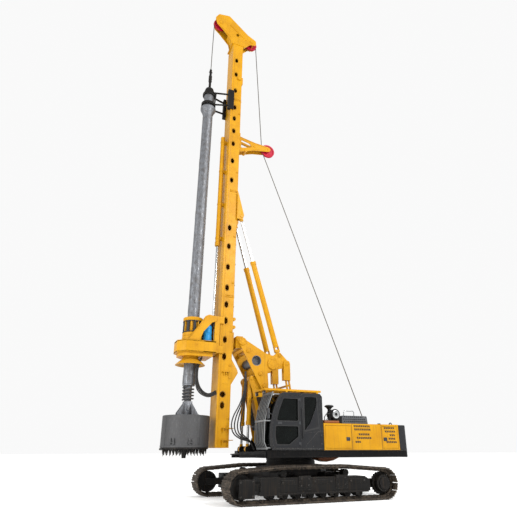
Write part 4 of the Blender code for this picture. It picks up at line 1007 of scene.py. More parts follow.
def smooth_line(points: Sequence[Sequence[float]], steps: int = 8) -> list[Place]:
    """Runs a smooth line through points, by Catmull and Rom's rule.

    Args:
        points: The points it passes.
        steps: How many pieces lie between two of them.

    Returns:
        The line's points.
    """
    spots = [Vector(p) for p in points]
    spots = [spots[0] * 2 - spots[1]] + spots + [spots[-1] * 2 - spots[-2]]
    out = []
    for a, b, c, d in zip(spots, spots[1:], spots[2:], spots[3:]):
        for n in range(steps):
            t = n / steps
            out.append(
                tuple(
                    0.5 * (
                        2 * b + (c - a) * t + (
                            2 * a - 5 * b + 4 * c - d
                        ) * t * t + (3 * b - a - 3 * c + d) * t**3
                    )
                )
            )
    out.append(tuple(spots[-2]))
    return out


def framed(place: Sequence[float]) -> Place:
    """Shifts a point from the slewing axis to the frame's own origin."""
    return tuple(Vector(place) + Vector((OFFSET_X, 0, 0)))


def linked(name: str, mesh: bpy.types.Mesh, finish: Finish) -> bpy.types.Object:
    """Puts a mesh into the scene with its finish.

    Args:
        name: The object's name.
        mesh: The mesh.
        finish: Its surface.

    Returns:
        The object.
    """
    made = bpy.data.objects.new(name, mesh)
    bpy.context.scene.collection.objects.link(made)
    mesh.materials.clear()
    mesh.materials.append(finish.material())
    return made


@dataclass
class Assembly:
    """What every sub-assembly can do: finish its pieces and dress its CAD nodes."""

    made: list[str] = field(default_factory=list)

    def piece(
        self,
        name: str,
        bm: Mesh,
        finish: Finish,
        body: str,
        replaces: Sequence[str] = (),
        bevel: float = 0.0,
        smooth: float = 35.0,
    ) -> bpy.types.Object:
        """Turns a bmesh into a finished piece that rides on a body.

        Args:
            name: The piece's name.
            bm: Its mesh, in metres from the slewing axis.
            finish: Its surface.
            body: The body that it moves with.
            replaces: The CAD nodes that it stands for.
            bevel: The width of its rounded edges.
            smooth: The angle in degrees past which an edge is sharp.

        Returns:
            The piece.
        """
        bmesh.ops.remove_doubles(bm, verts=bm.verts, dist=WELD)
        bmesh.ops.recalc_face_normals(bm, faces=bm.faces)
        if bevel:
            sharp = [e for e in bm.edges if len(e.link_faces) == 2 and e.calc_face_angle(0) > CREASE]
            rounded(bm, sharp, bevel)
        bmesh.ops.translate(bm, vec=(OFFSET_X, 0, 0), verts=bm.verts)
        mesh = bpy.data.meshes.new(name)
        bm.to_mesh(mesh)
        bm.free()
        mesh.shade_smooth()
        mesh.set_sharp_from_angle(angle=math.radians(smooth))
        made = linked(name, mesh, finish)
        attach(made, body)
        if replaces:
            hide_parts(*replaces)
        self.made.append(name)
        return made

    def dressed(self, node: str, finish: Finish, bevel: float = 0.006) -> bpy.types.Object:
        """Stands a copy of a CAD node, with its edges rounded, in that node's place.

        Args:
            node: The CAD node.
            finish: Its surface.
            bevel: The width of its rounded edges.

        Returns:
            The copy.
        """
        bm = bmesh.new()
        bm.from_mesh(frame["nodes"][node].data)
        bmesh.ops.remove_doubles(bm, verts=bm.verts, dist=CAD_WELD)
        bmesh.ops.dissolve_limit(bm, angle_limit=FLAT, verts=bm.verts, edges=bm.edges)
        mesh = bpy.data.meshes.new(node + "_skin")
        bm.to_mesh(mesh)
        bm.free()
        mesh.shade_smooth()
        mesh.set_sharp_from_angle(angle=math.radians(35))
        made = linked(node + "_skin", mesh, finish)
        if bevel:
            edge = made.modifiers.new("worn_edges", "BEVEL")
            edge.width = bevel
            edge.segments = 2
            edge.limit_method = "ANGLE"
            edge.angle_limit = CREASE
            edge.harden_normals = True
        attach(made, body_of(frame["nodes"][node])[0])
        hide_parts(node)
        self.made.append(made.name)
        return made

    def hose(
        self, name: str, points: Sequence[
            Sequence[float]
        ], radius: float, finish: Finish, body: str | None = None
    ) -> bpy.types.Object:
        """Lays a round hose or rope along a smooth line.

        Args:
            name: The piece's name.
            points: The points it passes.
            radius: Its radius.
            finish: Its surface.
            body: The body it moves with, if it bends between none.

        Returns:
            The piece.
        """
        data = bpy.data.curves.new(name, "CURVE")
        data.dimensions = "3D"
        data.bevel_depth = radius
        data.bevel_resolution = 3
        data.use_fill_caps = True
        line = data.splines.new("POLY")
        line.points.add(len(points) - 1)
        for spot, place in zip(line.points, points):
            spot.co = (place[0] + OFFSET_X, place[1], place[2], 1)
        curve = bpy.data.objects.new(name + "_line", data)
        mesh = bpy.data.meshes.new_from_object(curve)
        bpy.data.objects.remove(curve)
        mesh.name = name
        mesh.shade_smooth()
        made = linked(name, mesh, finish)
        if body:
            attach(made, body)
        self.made.append(name)
        return made


@dataclass
class Undercarriage(Assembly):
    """Crawler tracks on their frames, the carbody between them and the slew ring."""

    wheel_x: float = 2.345
    wheel_z: float = 0.455
    shift: float = 0.02
    depth: float = 0.125  # from the wheels to the grousers' tips
    grouser: float = 0.028
    shoe_half: float = 0.36
    track_y: float = 1.68
    shoes: int = 58
    pin_line: float = 0.055  # of the chain's pins, outside the wheels
    carrier: Place = (1.05, 0.78, 0.10)

    def loop(self) -> list[Vector]:
        """Draws the line of the chain round idler, sprocket and carrier rollers.

        Returns:
            Its points as (x, z), each bend split finely.
        """
        points = []
        wheel = self.wheel_z - self.depth + self.pin_line
        for x, z, r in (
            (self.wheel_x, self.wheel_z, wheel),
            (-self.wheel_x, self.wheel_z, wheel),
            (self.carrier[0], self.carrier[1], self.carrier[2] + self.pin_line),
            (-self.carrier[0], self.carrier[1], self.carrier[2] + self.pin_line),
        ):
            points += arc_points((x + self.shift, z), r, 96)
        hull = [Vector(points[i]) for i in convex_hull_2d(points)]
        if sum(a.x * b.y - b.x * a.y for a, b in zip(hull, hull[1:] + hull[:1])) < 0:
            hull.reverse()
        return hull

    def shoe(self, length: float) -> Mesh:
        """Builds one track plate with three grousers and its two chain links, at the origin.

        Args:
            length: The chain's pitch.

        Returns:
            The plate, lying along X with its grousers down.
        """
        bm = bmesh.new()
        half, tall = length / 2, self.depth - self.grouser
        plate_low = tall - 0.024
        block(bm, (-half * 1.02, half * 0.98), (-self.shoe_half, self.shoe_half), (plate_low, tall))
        for n, x in enumerate((-0.34, 0.0, 0.34)):
            x *= length
            tip = self.depth if n != 1 else self.depth - 0.004
            plate(
                bm,
                [
                    (x - 0.012, tall - 0.002), (x + 0.012, tall - 0.002), (x + 0.006, tip),
                    (x - 0.006, tip)
                ],
                -self.shoe_half + 0.01,
                self.shoe_half - 0.01,
            )
        for y in (-0.095, 0.095):
            outline = [
                (-half * 1.12, 0.012), (half * 0.8, 0.0), (half * 1.12, 0.03), (half * 0.8, plate_low),
                (-half * 0.9, plate_low)
            ]
            plate(bm, outline, y - 0.022, y + 0.022)
        rod(bm, (-half, -0.14, 0.042), (-half, 0.14, 0.042), 0.022, 8)
        bolts(bm, [(x, y, plate_low) for x in (-0.025, 0.025) for y in (-0.15, 0.15)], (0, 0, -1), 0.011)
        return bm

    def track(self, side: Side) -> None:
        """Lays the plates round the loop as one closed chain.

        Args:
            side: The machine's left or right.
        """
        loop = self.loop()
        runs = [(b - a).length for a, b in zip(loop, loop[1:] + loop[:1])]
        pitch = sum(runs) / self.shoes
        single = bpy.data.meshes.new("track_plate")
        small = self.shoe(pitch)
        small.to_mesh(single)
        small.free()
        chain = bmesh.new()
        for n in range(self.shoes):
            distance, i = n * pitch + pitch * 0.5, 0
            while distance > runs[i]:
                distance -= runs[i]
                i += 1
            a, b = loop[i], loop[(i + 1) % len(loop)]
            along = (b - a).normalized()
            out = Vector((along.y, -along.x))
            spot = a + along * distance - out * self.pin_line
            turn = Matrix(((along.x, 0, out.x), (0, 1, 0), (along.y, 0, out.y))).to_4x4()
            before = len(chain.verts)
            chain.from_mesh(single)
            chain.verts.ensure_lookup_table()
            place = Matrix.Translation((spot.x, side.value * self.track_y, spot.y)) @ turn
            bmesh.ops.transform(chain, matrix=place, verts=chain.verts[before:])
        bpy.data.meshes.remove(single)
        self.piece(
            f"track_chain_{side.word}", chain, MUD, "undercarriage", [f"track_{side.word}"], smooth=30
        )

    def rollers(self, side: Side) -> None:
        """Turns the flanged rollers, the carrier rollers and the idler.

        Args:
            side: The machine's left or right.
        """
        bm = bmesh.new()
        y = side.value * self.track_y
        lower = [
            (0, -0.20), (0.06, -0.20), (0.075, -0.17), (0.112, -0.165), (0.112, -0.145), (0.098, -0.14),
            (0.098, -0.05), (0.085, -0.04)
        ]
        lower += flipped(lower)
        for n in range(8):
            turned(bm, lower, (self.shift - 1.47 + n * 0.42, y, 0.232), Axis.Y, 24)
        upper = [
            (0, -0.13), (0.05, -0.13), (0.06, -0.11), (0.098, -0.10), (0.098, 0.10), (0.06, 0.11),
            (0.05, 0.13), (0, 0.13)
        ]
        for x in (-self.carrier[0], self.carrier[0]):
            turned(bm, upper, (x + self.shift, y, self.carrier[1]), Axis.Y, 24)
        rim = self.wheel_z - self.depth - 0.004
        idler = [
            (0, -0.23), (0.09, -0.23), (0.10, -0.12), (0.24, -0.06), (0.27, -0.105),
            (rim - 0.03, -0.105), (rim - 0.025, -0.06), (rim, -0.055)
        ]
        idler += flipped(idler)
        turned(bm, idler, (self.wheel_x + self.shift, y, self.wheel_z), Axis.Y, 64)
        self.piece(f"track_rollers_{side.word}", bm, CHASSIS, "undercarriage", smooth=30)

    def drive(self, side: Side) -> None:
        """Turns the gearbox cover of the sprocket and sets its bolts.

        Args:
            side: The machine's left or right.
        """
        bm = bmesh.new()
        x, z = self.shift - self.wheel_x, self.wheel_z
        cover = [
            (0, 0.268), (0.09, 0.266), (0.13, 0.25), (0.165, 0.235), (0.175, 0.215), (0.235, 0.21),
            (0.243, 0.19), (0.243, 0.04), (0, 0.04)
        ]
        if side.value < 0:
            cover = flipped(cover)
        turned(bm, cover, (x, side.value * self.track_y, z), Axis.Y, 64)
        ring = arc_points((x, z), 0.212, 18)
        bolts(
            bm, [(p, side.value * (self.track_y + 0.212), q) for p, q in ring], (0, side.value, 0), 0.012
        )
        bolt_circle(bm, (x, z), 0.06, 6, side.value * (self.track_y + 0.262), (0, side.value, 0), 0.010)
        self.piece(f"drive_cover_{side.word}", bm, CHASSIS, "undercarriage", smooth=30)

    def frame_trim(self, side: Side) -> None:
        """Adds guards, a grease cover and bolts to the track frame's outer face.

        Args:
            side: The machine's left or right.
        """
        bm = bmesh.new()
        face = side.value * 1.952
        for low, high in ((-1.62, -1.05), (-0.45, 0.18), (0.76, 1.22)):
            block(bm, (low, high), (face, face + side.value * 0.012), (0.50, 0.62), 0.004)
            bolts(
                bm, [(x, face + side.value * 0.012, 0.56) for x in (low + 0.05, high - 0.05)],
                (0, side.value, 0), 0.014
            )
        block(bm, (-1.70, 1.70), on_face(face, side.value, 0.03, 0.01), (0.245, 0.285), 0.006)
        for x in (-1.30, -0.40, 0.50, 1.25):
            block(bm, about(x, 0.06), (side.value * 1.90, face + side.value * 0.02), (0.17, 0.28), 0.008)
        block(bm, (2.02, 2.50), (side.value * 1.94, side.value * 1.975), (0.18, 0.66), 0.02)
        bolts(
            bm, [(x, side.value * 1.975, z) for x in (2.08, 2.44) for z in (0.24, 0.60)],
            (0, side.value, 0), 0.018
        )
        for x in (-0.76, 0.47):
            block(bm, about(x, 0.17), (side.value * 1.955, side.value * 1.985), (0.42, 0.70), 0.01)
            bolts(
                bm,
                [(x + p, side.value * 1.985, 0.56 + q) for p in (-0.12, 0.12) for q in (-0.09, 0.09)],
                (0, side.value, 0), 0.016
            )
        self.piece(f"track_frame_guards_{side.word}", bm, CHASSIS, "undercarriage")

    def ring(self) -> None:
        """Turns the toothed slew ring with its bolts."""
        bm = bmesh.new()
        profile = [
            (0.70, 1.195), (0.805, 1.195), (0.812, 1.185), (0.812, 1.13), (0.795, 1.12), (0.795, 1.10),
            (0.812, 1.09), (0.812, 1.002), (0.70, 1.002)
        ]
        turned(bm, profile, (0, 0, 0), Axis.Z, 96)
        bolt_circle(bm, (0, 0), 0.775, 36, 1.002, (0, 0, -1), 0.014)
        self.piece("slew_ring_turned", bm, CHASSIS, "undercarriage", ["slew_ring"], smooth=30)

    def build(self) -> None:
        """Builds both tracks and dresses the carbody."""
        for side in Side:
            self.track(side)
            self.rollers(side)
            self.drive(side)
            self.frame_trim(side)
            self.dressed(f"track_frame_{side.word}", CHASSIS, 0.010)
            self.dressed(f"final_drive_{side.word}", CHASSIS, 0.004)
        self.dressed("carbody", CHASSIS, 0.014)
        self.ring()


@dataclass
class Housing(Assembly):
    """Deck, counterweight, engine housing with its doors, and what stands on it."""

    half: float = 1.495
    top: float = 2.213
    front: float = -0.488
    tail: float = -3.394
    rear: float = -3.81

    def louvres(self, name: str, body: str, side: Side, rows: Sequence[Place]) -> None:
        """Presses rows of slanted louvres into a side panel, drawn as thin dark plates that paint the shade
        in their recesses.

        Args:
            name: The piece's name.
            body: The body of the panel.
            side: The machine's left or right.
            rows: Each row's front, rear and height.
        """
        bm = bmesh.new()
        y = side.value * self.half
        pitch, tall = 0.072, 0.052
        for front, rear, z in rows:
            for n in range(max(1, int((front - rear) / pitch))):
                x = front - n * pitch
                outline = [
                    (x, z + tall / 2), (x - 0.050, z + tall / 2), (x - 0.062, z - tall / 2),
                    (x - 0.012, z - tall / 2)
                ]
                plate(bm, outline, *on_face(y, side.value, 0.0035))
                beam(
                    bm, (x + 0.002, y + side.value * 0.004, z + tall / 2 + 0.003),
                    (x - 0.052, y + side.value * 0.004, z + tall / 2 + 0.003), 0.010, 0.006
                )
        self.piece(name, bm, SLIT_SHADE, body, smooth=30)

    def latch(self, name: str, body: str, side: Side, x: float, z: float) -> None:
        """Sets a moulded paddle latch in its square cup.

        Args:
            name: The piece's name.
            body: The body of the door.
            side: The machine's left or right.
            x: Its middle.
            z: Its height.
        """
        bm = bmesh.new()
        y = side.value * self.half
        outline = softened([(*corner, 0.012) for corner in oblong(x, z, 0.068, 0.055)])
        hole = oblong(x, z, 0.046, 0.034)
        plate(bm, outline, *on_face(y, side.value, 0.010), [hole])
        block(bm, about(x, 0.047), on_face(y, side.value, 0.002), about(z, 0.035))
        block(bm, (x - 0.020, x + 0.036), (y, y + side.value * 0.008), about(z, 0.018), 0.003)
        self.piece(name, bm, PANEL, body, bevel=0.0015)

    def seams(self, side: Side, splits: Sequence[float]) -> None:
        """Lays the dark joints between the panels of one side.

        Args:
            side: The machine's left or right.
            splits: Where the panels meet.
        """
        bm = bmesh.new()
        y = side.value * self.half
        for x in splits:
            block(bm, about(x, 0.005), on_face(y, side.value, 0.0015, 0.002), (1.415, self.top - 0.01))
        block(
            bm, (self.tail + 0.01, self.front - 0.01), on_face(y, side.value, 0.0015, 0.002),
            (1.408, 1.418)
        )
        self.piece(f"panel_joints_{side.word}", bm, SEAL, "upper_body")

    def lower_band(self, side: Side) -> None:
        """Lays the dark skirt under the panels with its drip edge.

        Args:
            side: The machine's left or right.
        """
        bm = bmesh.new()
        y = side.value * (self.half - 0.020)
        out = y + side.value * 0.018
        block(bm, (self.tail + 0.005, 1.42), (y - side.value * 0.004, out), (1.372, 1.400), 0.006)
        block(
            bm, (self.tail + 0.005, 1.42), (y - side.value * 0.004, out - side.value * 0.006),
            (1.200, 1.230), 0.006
        )
        for x in (-3.1, -2.4, -1.7, -1.0, -0.3, 0.4, 1.1):
            block(bm, about(x, 0.02), on_face(y, side.value, 0.006), (1.225, 1.375), 0.003)
        bolts(
            bm, [(x, out - side.value * 0.012, 1.30) for x in (-2.9, -1.9, -0.9, 0.1, 0.9)],
            (0, side.value, 0), 0.014
        )
        self.piece(f"deck_skirt_{side.word}", bm, DECK, "upper_body")

    def counterweight(self) -> None:
        """Casts the tail weight: grooves, lifting eyes and the towing pocket."""
        self.dressed("counterweight", ANTHRACITE, 0.028)
        bm = bmesh.new()
        for sign in (1, -1):
            y = sign * self.half
            block(
                bm, (self.rear + 0.19, self.tail - 0.006), on_face(y, sign, 0.003, 0.003),
                (1.392, 1.402), 0.001
            )
            turned(
                bm, [(0.04, 0.012), (0.075, 0.0), (0.04, -0.012)],
                (self.rear + 0.24, sign * 0.85, 2.245), Axis.Y, 24
            )
            block(
                bm, (self.rear + 0.20, self.rear + 0.28), (sign * 0.82, sign * 0.88), (2.195, 2.225),
                0.01
            )
            for z in (1.55, 1.80, 2.05):
                block(
                    bm, (self.rear - 0.002, self.rear + 0.01), (sign * 0.12, sign * 0.62), (z, z + 0.02),
                    0.004
                )
        rod(bm, (self.rear + 0.03, 0, 1.36), (self.rear - 0.03, 0, 1.36), 0.045, 24)
        rod(bm, (self.rear - 0.02, 0, 1.44), (self.rear - 0.02, 0, 1.28), 0.02, 16)
        self.piece("counterweight_trim", bm, ANTHRACITE, "upper_body", smooth=30)

    def cooling_cage(self) -> None:
        """Builds the perforated cage over the cooler, with its bright grab handle."""
        bm = bmesh.new()
        x, y, z = (-2.28, -1.22), (0.75, 1.38), (self.top + 0.001, 2.47)
        side = softened(
            [
                (x[0] + 0.03, z[0]), (x[1] - 0.02, z[0]), (x[1] - 0.05, z[1], 0.05),
                (x[0] + 0.06, z[1], 0.05)
            ]
        )
        # The sheet is drawn as walls of slots a real 40 mm wide.
        slots = []
        for row in range(3):
            for n in range(11):
                cx = x[0] + 0.14 + n * 0.080 + 0.02 * (row % 2)
                cz = z[0] + 0.075 + row * 0.070
                slots.append(oblong(cx, cz, 0.026, 0.018))
        for near, far in ((y[0], y[0] + 0.012), (y[1] - 0.012, y[1])):
            plate(bm, side, near, far, slots)
        roof = []
        for row in range(6):
            for n in range(11):
                cx, cy = x[0] + 0.15 + n * 0.080, y[0] + 0.08 + row * 0.092
                roof.append(oblong(cx, cy, 0.028, 0.028))
        top = [
            (x[0] + 0.085, y[0] + 0.005), (x[1] - 0.075, y[0] + 0.005), (x[1] - 0.075, y[1] - 0.005),
            (x[0] + 0.085, y[1] - 0.005)
        ]
        plate(bm, top, z[1] - 0.012, z[1], roof, Axis.Z)
        for end in (side[0][0], side[1][0]):
            lean = 0.03 if end < -2 else -0.03
            beam(
                bm, (end + lean * 0.3, sum(y) / 2, z[0]), (end + lean, sum(y) / 2, z[1] - 0.03),
                y[1] - y[0] - 0.01, 0.012
            )
        self.piece("cooler_cage", bm, CAGE, "upper_body", ["cooling_box"], smooth=30)
        bm = bmesh.new()
        block(bm, (x[0] + 0.10, x[1] - 0.10), (y[0] + 0.03, y[1] - 0.03), (z[0], z[1] - 0.03))
        for n in range(9):
            rod(
                bm, (x[0] + 0.18 + n * 0.09, y[0] + 0.02, z[0] + 0.12),
                (x[0] + 0.18 + n * 0.09, y[1] - 0.02, z[0] + 0.12), 0.02, 12
            )
        self.piece("cooler_core", bm, SEAL, "upper_body")
        grab = [
            (-1.40, 1.25, 2.45), (-1.40, 1.25, 2.59), (-1.43, 1.25, 2.625), (-1.77, 1.25, 2.625),
            (-1.80, 1.25, 2.59), (-1.80, 1.25, 2.45)
        ]
        self.hose("cage_grab_handle", grab, 0.017, CHROME, "upper_body")

    def air_cleaner(self) -> None:
        """Turns the air cleaner, its rain cap and the heat-browned silencer beside it."""
        bm = bmesh.new()
        turned(
            bm,
            [
                (0, 2.795), (0.10, 2.79), (0.150, 2.765), (0.155, 2.735), (0.125, 2.725), (0.10, 2.70),
                (0.055, 2.66), (0.052, 2.30), (0, 2.30)
            ],
            (-0.82, 1.30, 0), Axis.Z, 48
        )
        can = [
            (0, -0.19), (0.075, -0.19), (0.08, -0.175), (0.15, -0.165), (0.168, -0.15), (0.168, -0.10),
            (0.160, -0.095), (0.160, 0.09), (0.168, 0.095)
        ]
        can += [
            (0.168, 0.145), (0.150, 0.165), (0.155, 0.175), (0.11, 0.187), (0.10, 0.17), (0.05, 0.17),
            (0.05, 0.188), (0, 0.188)
        ]
        turned(bm, can, (-1.02, 1.21, 2.50), Axis.Y, 56)
        beam(bm, (-1.02, 1.21, 2.50), (-0.83, 1.30, 2.42), 0.10, 0.10, 0.02)
        block(bm, (-1.12, -0.92), (1.10, 1.32), (2.30, 2.36), 0.01)
        self.piece("air_cleaner_turned", bm, BLACK, "upper_body", ["air_cleaner"], smooth=32)
        bm = bmesh.new()
        turned(
            bm,
            [(0.05, 0.193), (0.075, 0.196), (0.11, 0.196), (0.125, 0.190), (0.125, 0.17), (0.05, 0.17)],
            (-1.02, 1.21, 2.50), Axis.Y, 48
        )
        self.piece("air_cleaner_ring", bm, CHROME, "upper_body", smooth=30)
        bm = bmesh.new()
        block(bm, (-1.12, -0.56), (0.94, 1.42), (self.top + 0.001, 2.30), 0.02)
        rod(bm, (-1.10, 1.00, 2.27), (-0.60, 1.00, 2.27), 0.075, 36)
        self.piece("silencer_shield", bm, OCHRE, "upper_body", smooth=32)
        self.hose(
            "intake_hose",
            [(-1.02, 1.05, 2.50), (-1.05, 0.92, 2.48), (-1.10, 0.85, 2.40), (-1.12, 0.80, 2.22)], 0.055,
            RUBBER, "upper_body"
        )
        self.hose(
            "drain_hose",
            [(-0.60, 1.38, 2.22), (-0.58, 1.39, 2.40), (-0.66, 1.38, 2.50), (-0.82, 1.36, 2.52)], 0.014,
            RUBBER, "upper_body"
        )

    def roof(self) -> None:
        """Adds tread strips, filler caps, handrail and hood handles to the deck's roof."""
        bm = bmesh.new()
        for x in range(11):
            for y in range(4):
                cx, cy = -3.2 + x * 0.05, -1.35 + y * 0.1
                block(bm, (cx, cx + 0.035), (cy, cy + 0.05), (self.top - 0.001, self.top + 0.004))
        for x, y in ((-2.9, 1.1), (-0.8, -1.1)):
            turned(
                bm, [(0, 0.05), (0.05, 0.05), (0.055, 0.02), (0.065, 0.018), (0.065, 0), (0, 0)],
                (x, y, self.top), Axis.Z, 32
            )
        self.piece("roof_fittings", bm, BLACK, "upper_body", smooth=30)
        bm = bmesh.new()
        for y in (-0.35, 0.35):
            for x in (-1.9, -0.95):
                beam(bm, (x, y - 0.07, 2.235), (x, y + 0.07, 2.235), 0.02, 0.02, 0.005)
                block(bm, about(x, 0.012), (y - 0.075, y - 0.05), (2.222, 2.24))
                block(bm, about(x, 0.012), (y + 0.05, y + 0.075), (2.222, 2.24))
        self.piece("hood_handles", bm, BLACK, "engine_hood")
        rail = [(-3.3, 2.21), (-3.3, 2.52), (-3.26, 2.56), (-2.3, 2.56), (-2.26, 2.52), (-2.26, 2.21)]
        self.hose("roof_handrail", [(x, -1.40, z) for x, z in rail], 0.017, ANTHRACITE, "upper_body")

    def engine(self) -> None:
        """Gives the engine block its covers and pipes."""
        self.dressed("engine_block", ANTHRACITE, 0.02)
        bm = bmesh.new()
        for n in range(6):
            x = -1.95 + n * 0.21
            block(bm, (x, x + 0.17), (-0.18, 0.18), (2.05, 2.10), 0.015)
            for sign in (1, -1):
                rod(bm, (x + 0.085, sign * 0.44, 1.95), (x + 0.085, sign * 0.52, 1.95), 0.035, 20)
        rod(bm, (-2.0, 0.52, 1.95), (-0.85, 0.52, 1.95), 0.05, 24)
        rod(bm, (-2.0, -0.52, 1.90), (-0.85, -0.52, 1.90), 0.05, 24)
        self.piece("engine_covers", bm, BLACK, "upper_body", smooth=32)

    def underside(self) -> None:
        """Hangs the swivel plate and drain guards under the deck."""
        bm = bmesh.new()
        for x, y in ((-0.82, 0.95), (-0.82, -0.95)):
            outline = [
                (x - 0.38, 1.20), (x + 0.42, 1.20), (x + 0.34, 1.13), (x + 0.10, 1.07), (x - 0.16, 1.11)
            ]
            plate(bm, outline, y - 0.22, y + 0.22)
        self.piece("belly_guards", bm, OCHRE, "upper_body", bevel=0.008)

    def build(self) -> None:
        """Builds the housing and everything on it."""
        self.dressed("platform", DECK, 0.008)
        self.counterweight()
        self.dressed("engine_housing", YELLOW, 0.008)
        for door in ("left_front_door", "left_rear_door", "right_front_door", "right_rear_door"):
            self.dressed(door, YELLOW, 0.004)
        self.dressed("engine_hood", YELLOW, 0.004)
        self.louvres(
            "louvres_left_middle", "upper_body", Side.LEFT,
            [
                (-1.60, -2.28, 2.135), (-1.62, -2.30, 2.035), (-1.78, -2.28, 1.885),
                (-1.70, -2.32, 1.775), (-1.64, -1.86, 1.655)
            ]
        )
        self.louvres(
            "louvres_left_rear", "left_rear_door", Side.LEFT,
            [
                (-2.80, -3.28, 2.095), (-2.83, -3.28, 1.985), (-3.02, -3.28, 1.87), (-2.96, -3.30, 1.76),
                (-2.86, -3.32, 1.655)
            ]
        )
        self.louvres(
            "louvres_right_rear", "right_rear_door", Side.RIGHT,
            [(-2.05, -3.28, 2.095), (-2.05, -3.28, 1.985), (-2.4, -3.28, 1.87), (-2.3, -3.30, 1.76)]
        )
        self.louvres(
            "louvres_right_front", "right_front_door", Side.RIGHT,
            [(-1.2, -1.82, 2.095), (-1.2, -1.82, 1.985)]
        )
        for door, side, x in (
            ("left_front", Side.LEFT, -1.375),
            ("left_rear", Side.LEFT, -2.825),
            ("right_front", Side.RIGHT, -1.75),
            ("right_rear", Side.RIGHT, -2.08),
        ):
            self.latch(f"latch_{door}", f"{door}_door", side, x, 1.745)
        self.seams(Side.LEFT, (-1.524, -2.684))
        self.seams(Side.RIGHT, (-1.925,))
        for side in Side:
            self.lower_band(side)
        self.cooling_cage()
        self.air_cleaner()
        self.roof()
        self.engine()
        self.underside()


@dataclass
class Winch(Assembly):
    """The main winch drum with its rope."""

    x: float = -3.04
    z: float = 1.90

    def build(self) -> None:
        """Turns the flanged drum and the layer of rope on it."""
        bm = bmesh.new()
        half = [
            (0.0, 0.419), (0.10, 0.419), (0.14, 0.40), (0.14, 0.372), (0.295, 0.37), (0.31, 0.36),
            (0.31, 0.335), (0.295, 0.33), (0.20, 0.325)
        ]
        turned(bm, half + flipped(half), (self.x, 0, self.z), Axis.Y, 72)
        for sign in (1, -1):
            bolt_circle(bm, (self.x, self.z), 0.23, 12, sign * 0.372, (0, sign, 0), 0.014)
        self.piece("winch_drum_turned", bm, BLACK, "winch_drum", ["winch_drum"], smooth=32)
        bm = bmesh.new()
        wraps = 22
        pitch = 0.64 / wraps
        profile = [(0.205, -0.32)]
        for n in range(wraps):
            middle = -0.32 + pitch * (n + 0.5)
            profile += [
                (0.232, middle - pitch * 0.32), (0.240, middle), (0.232, middle + pitch * 0.32),
                (0.222, middle + pitch * 0.5)
            ]
        profile += [(0.205, 0.32)]
        turned(bm, profile, (self.x, 0, self.z), Axis.Y, 64)
        self.piece("winch_rope_layer", bm, ROPE, "winch_drum", smooth=60)


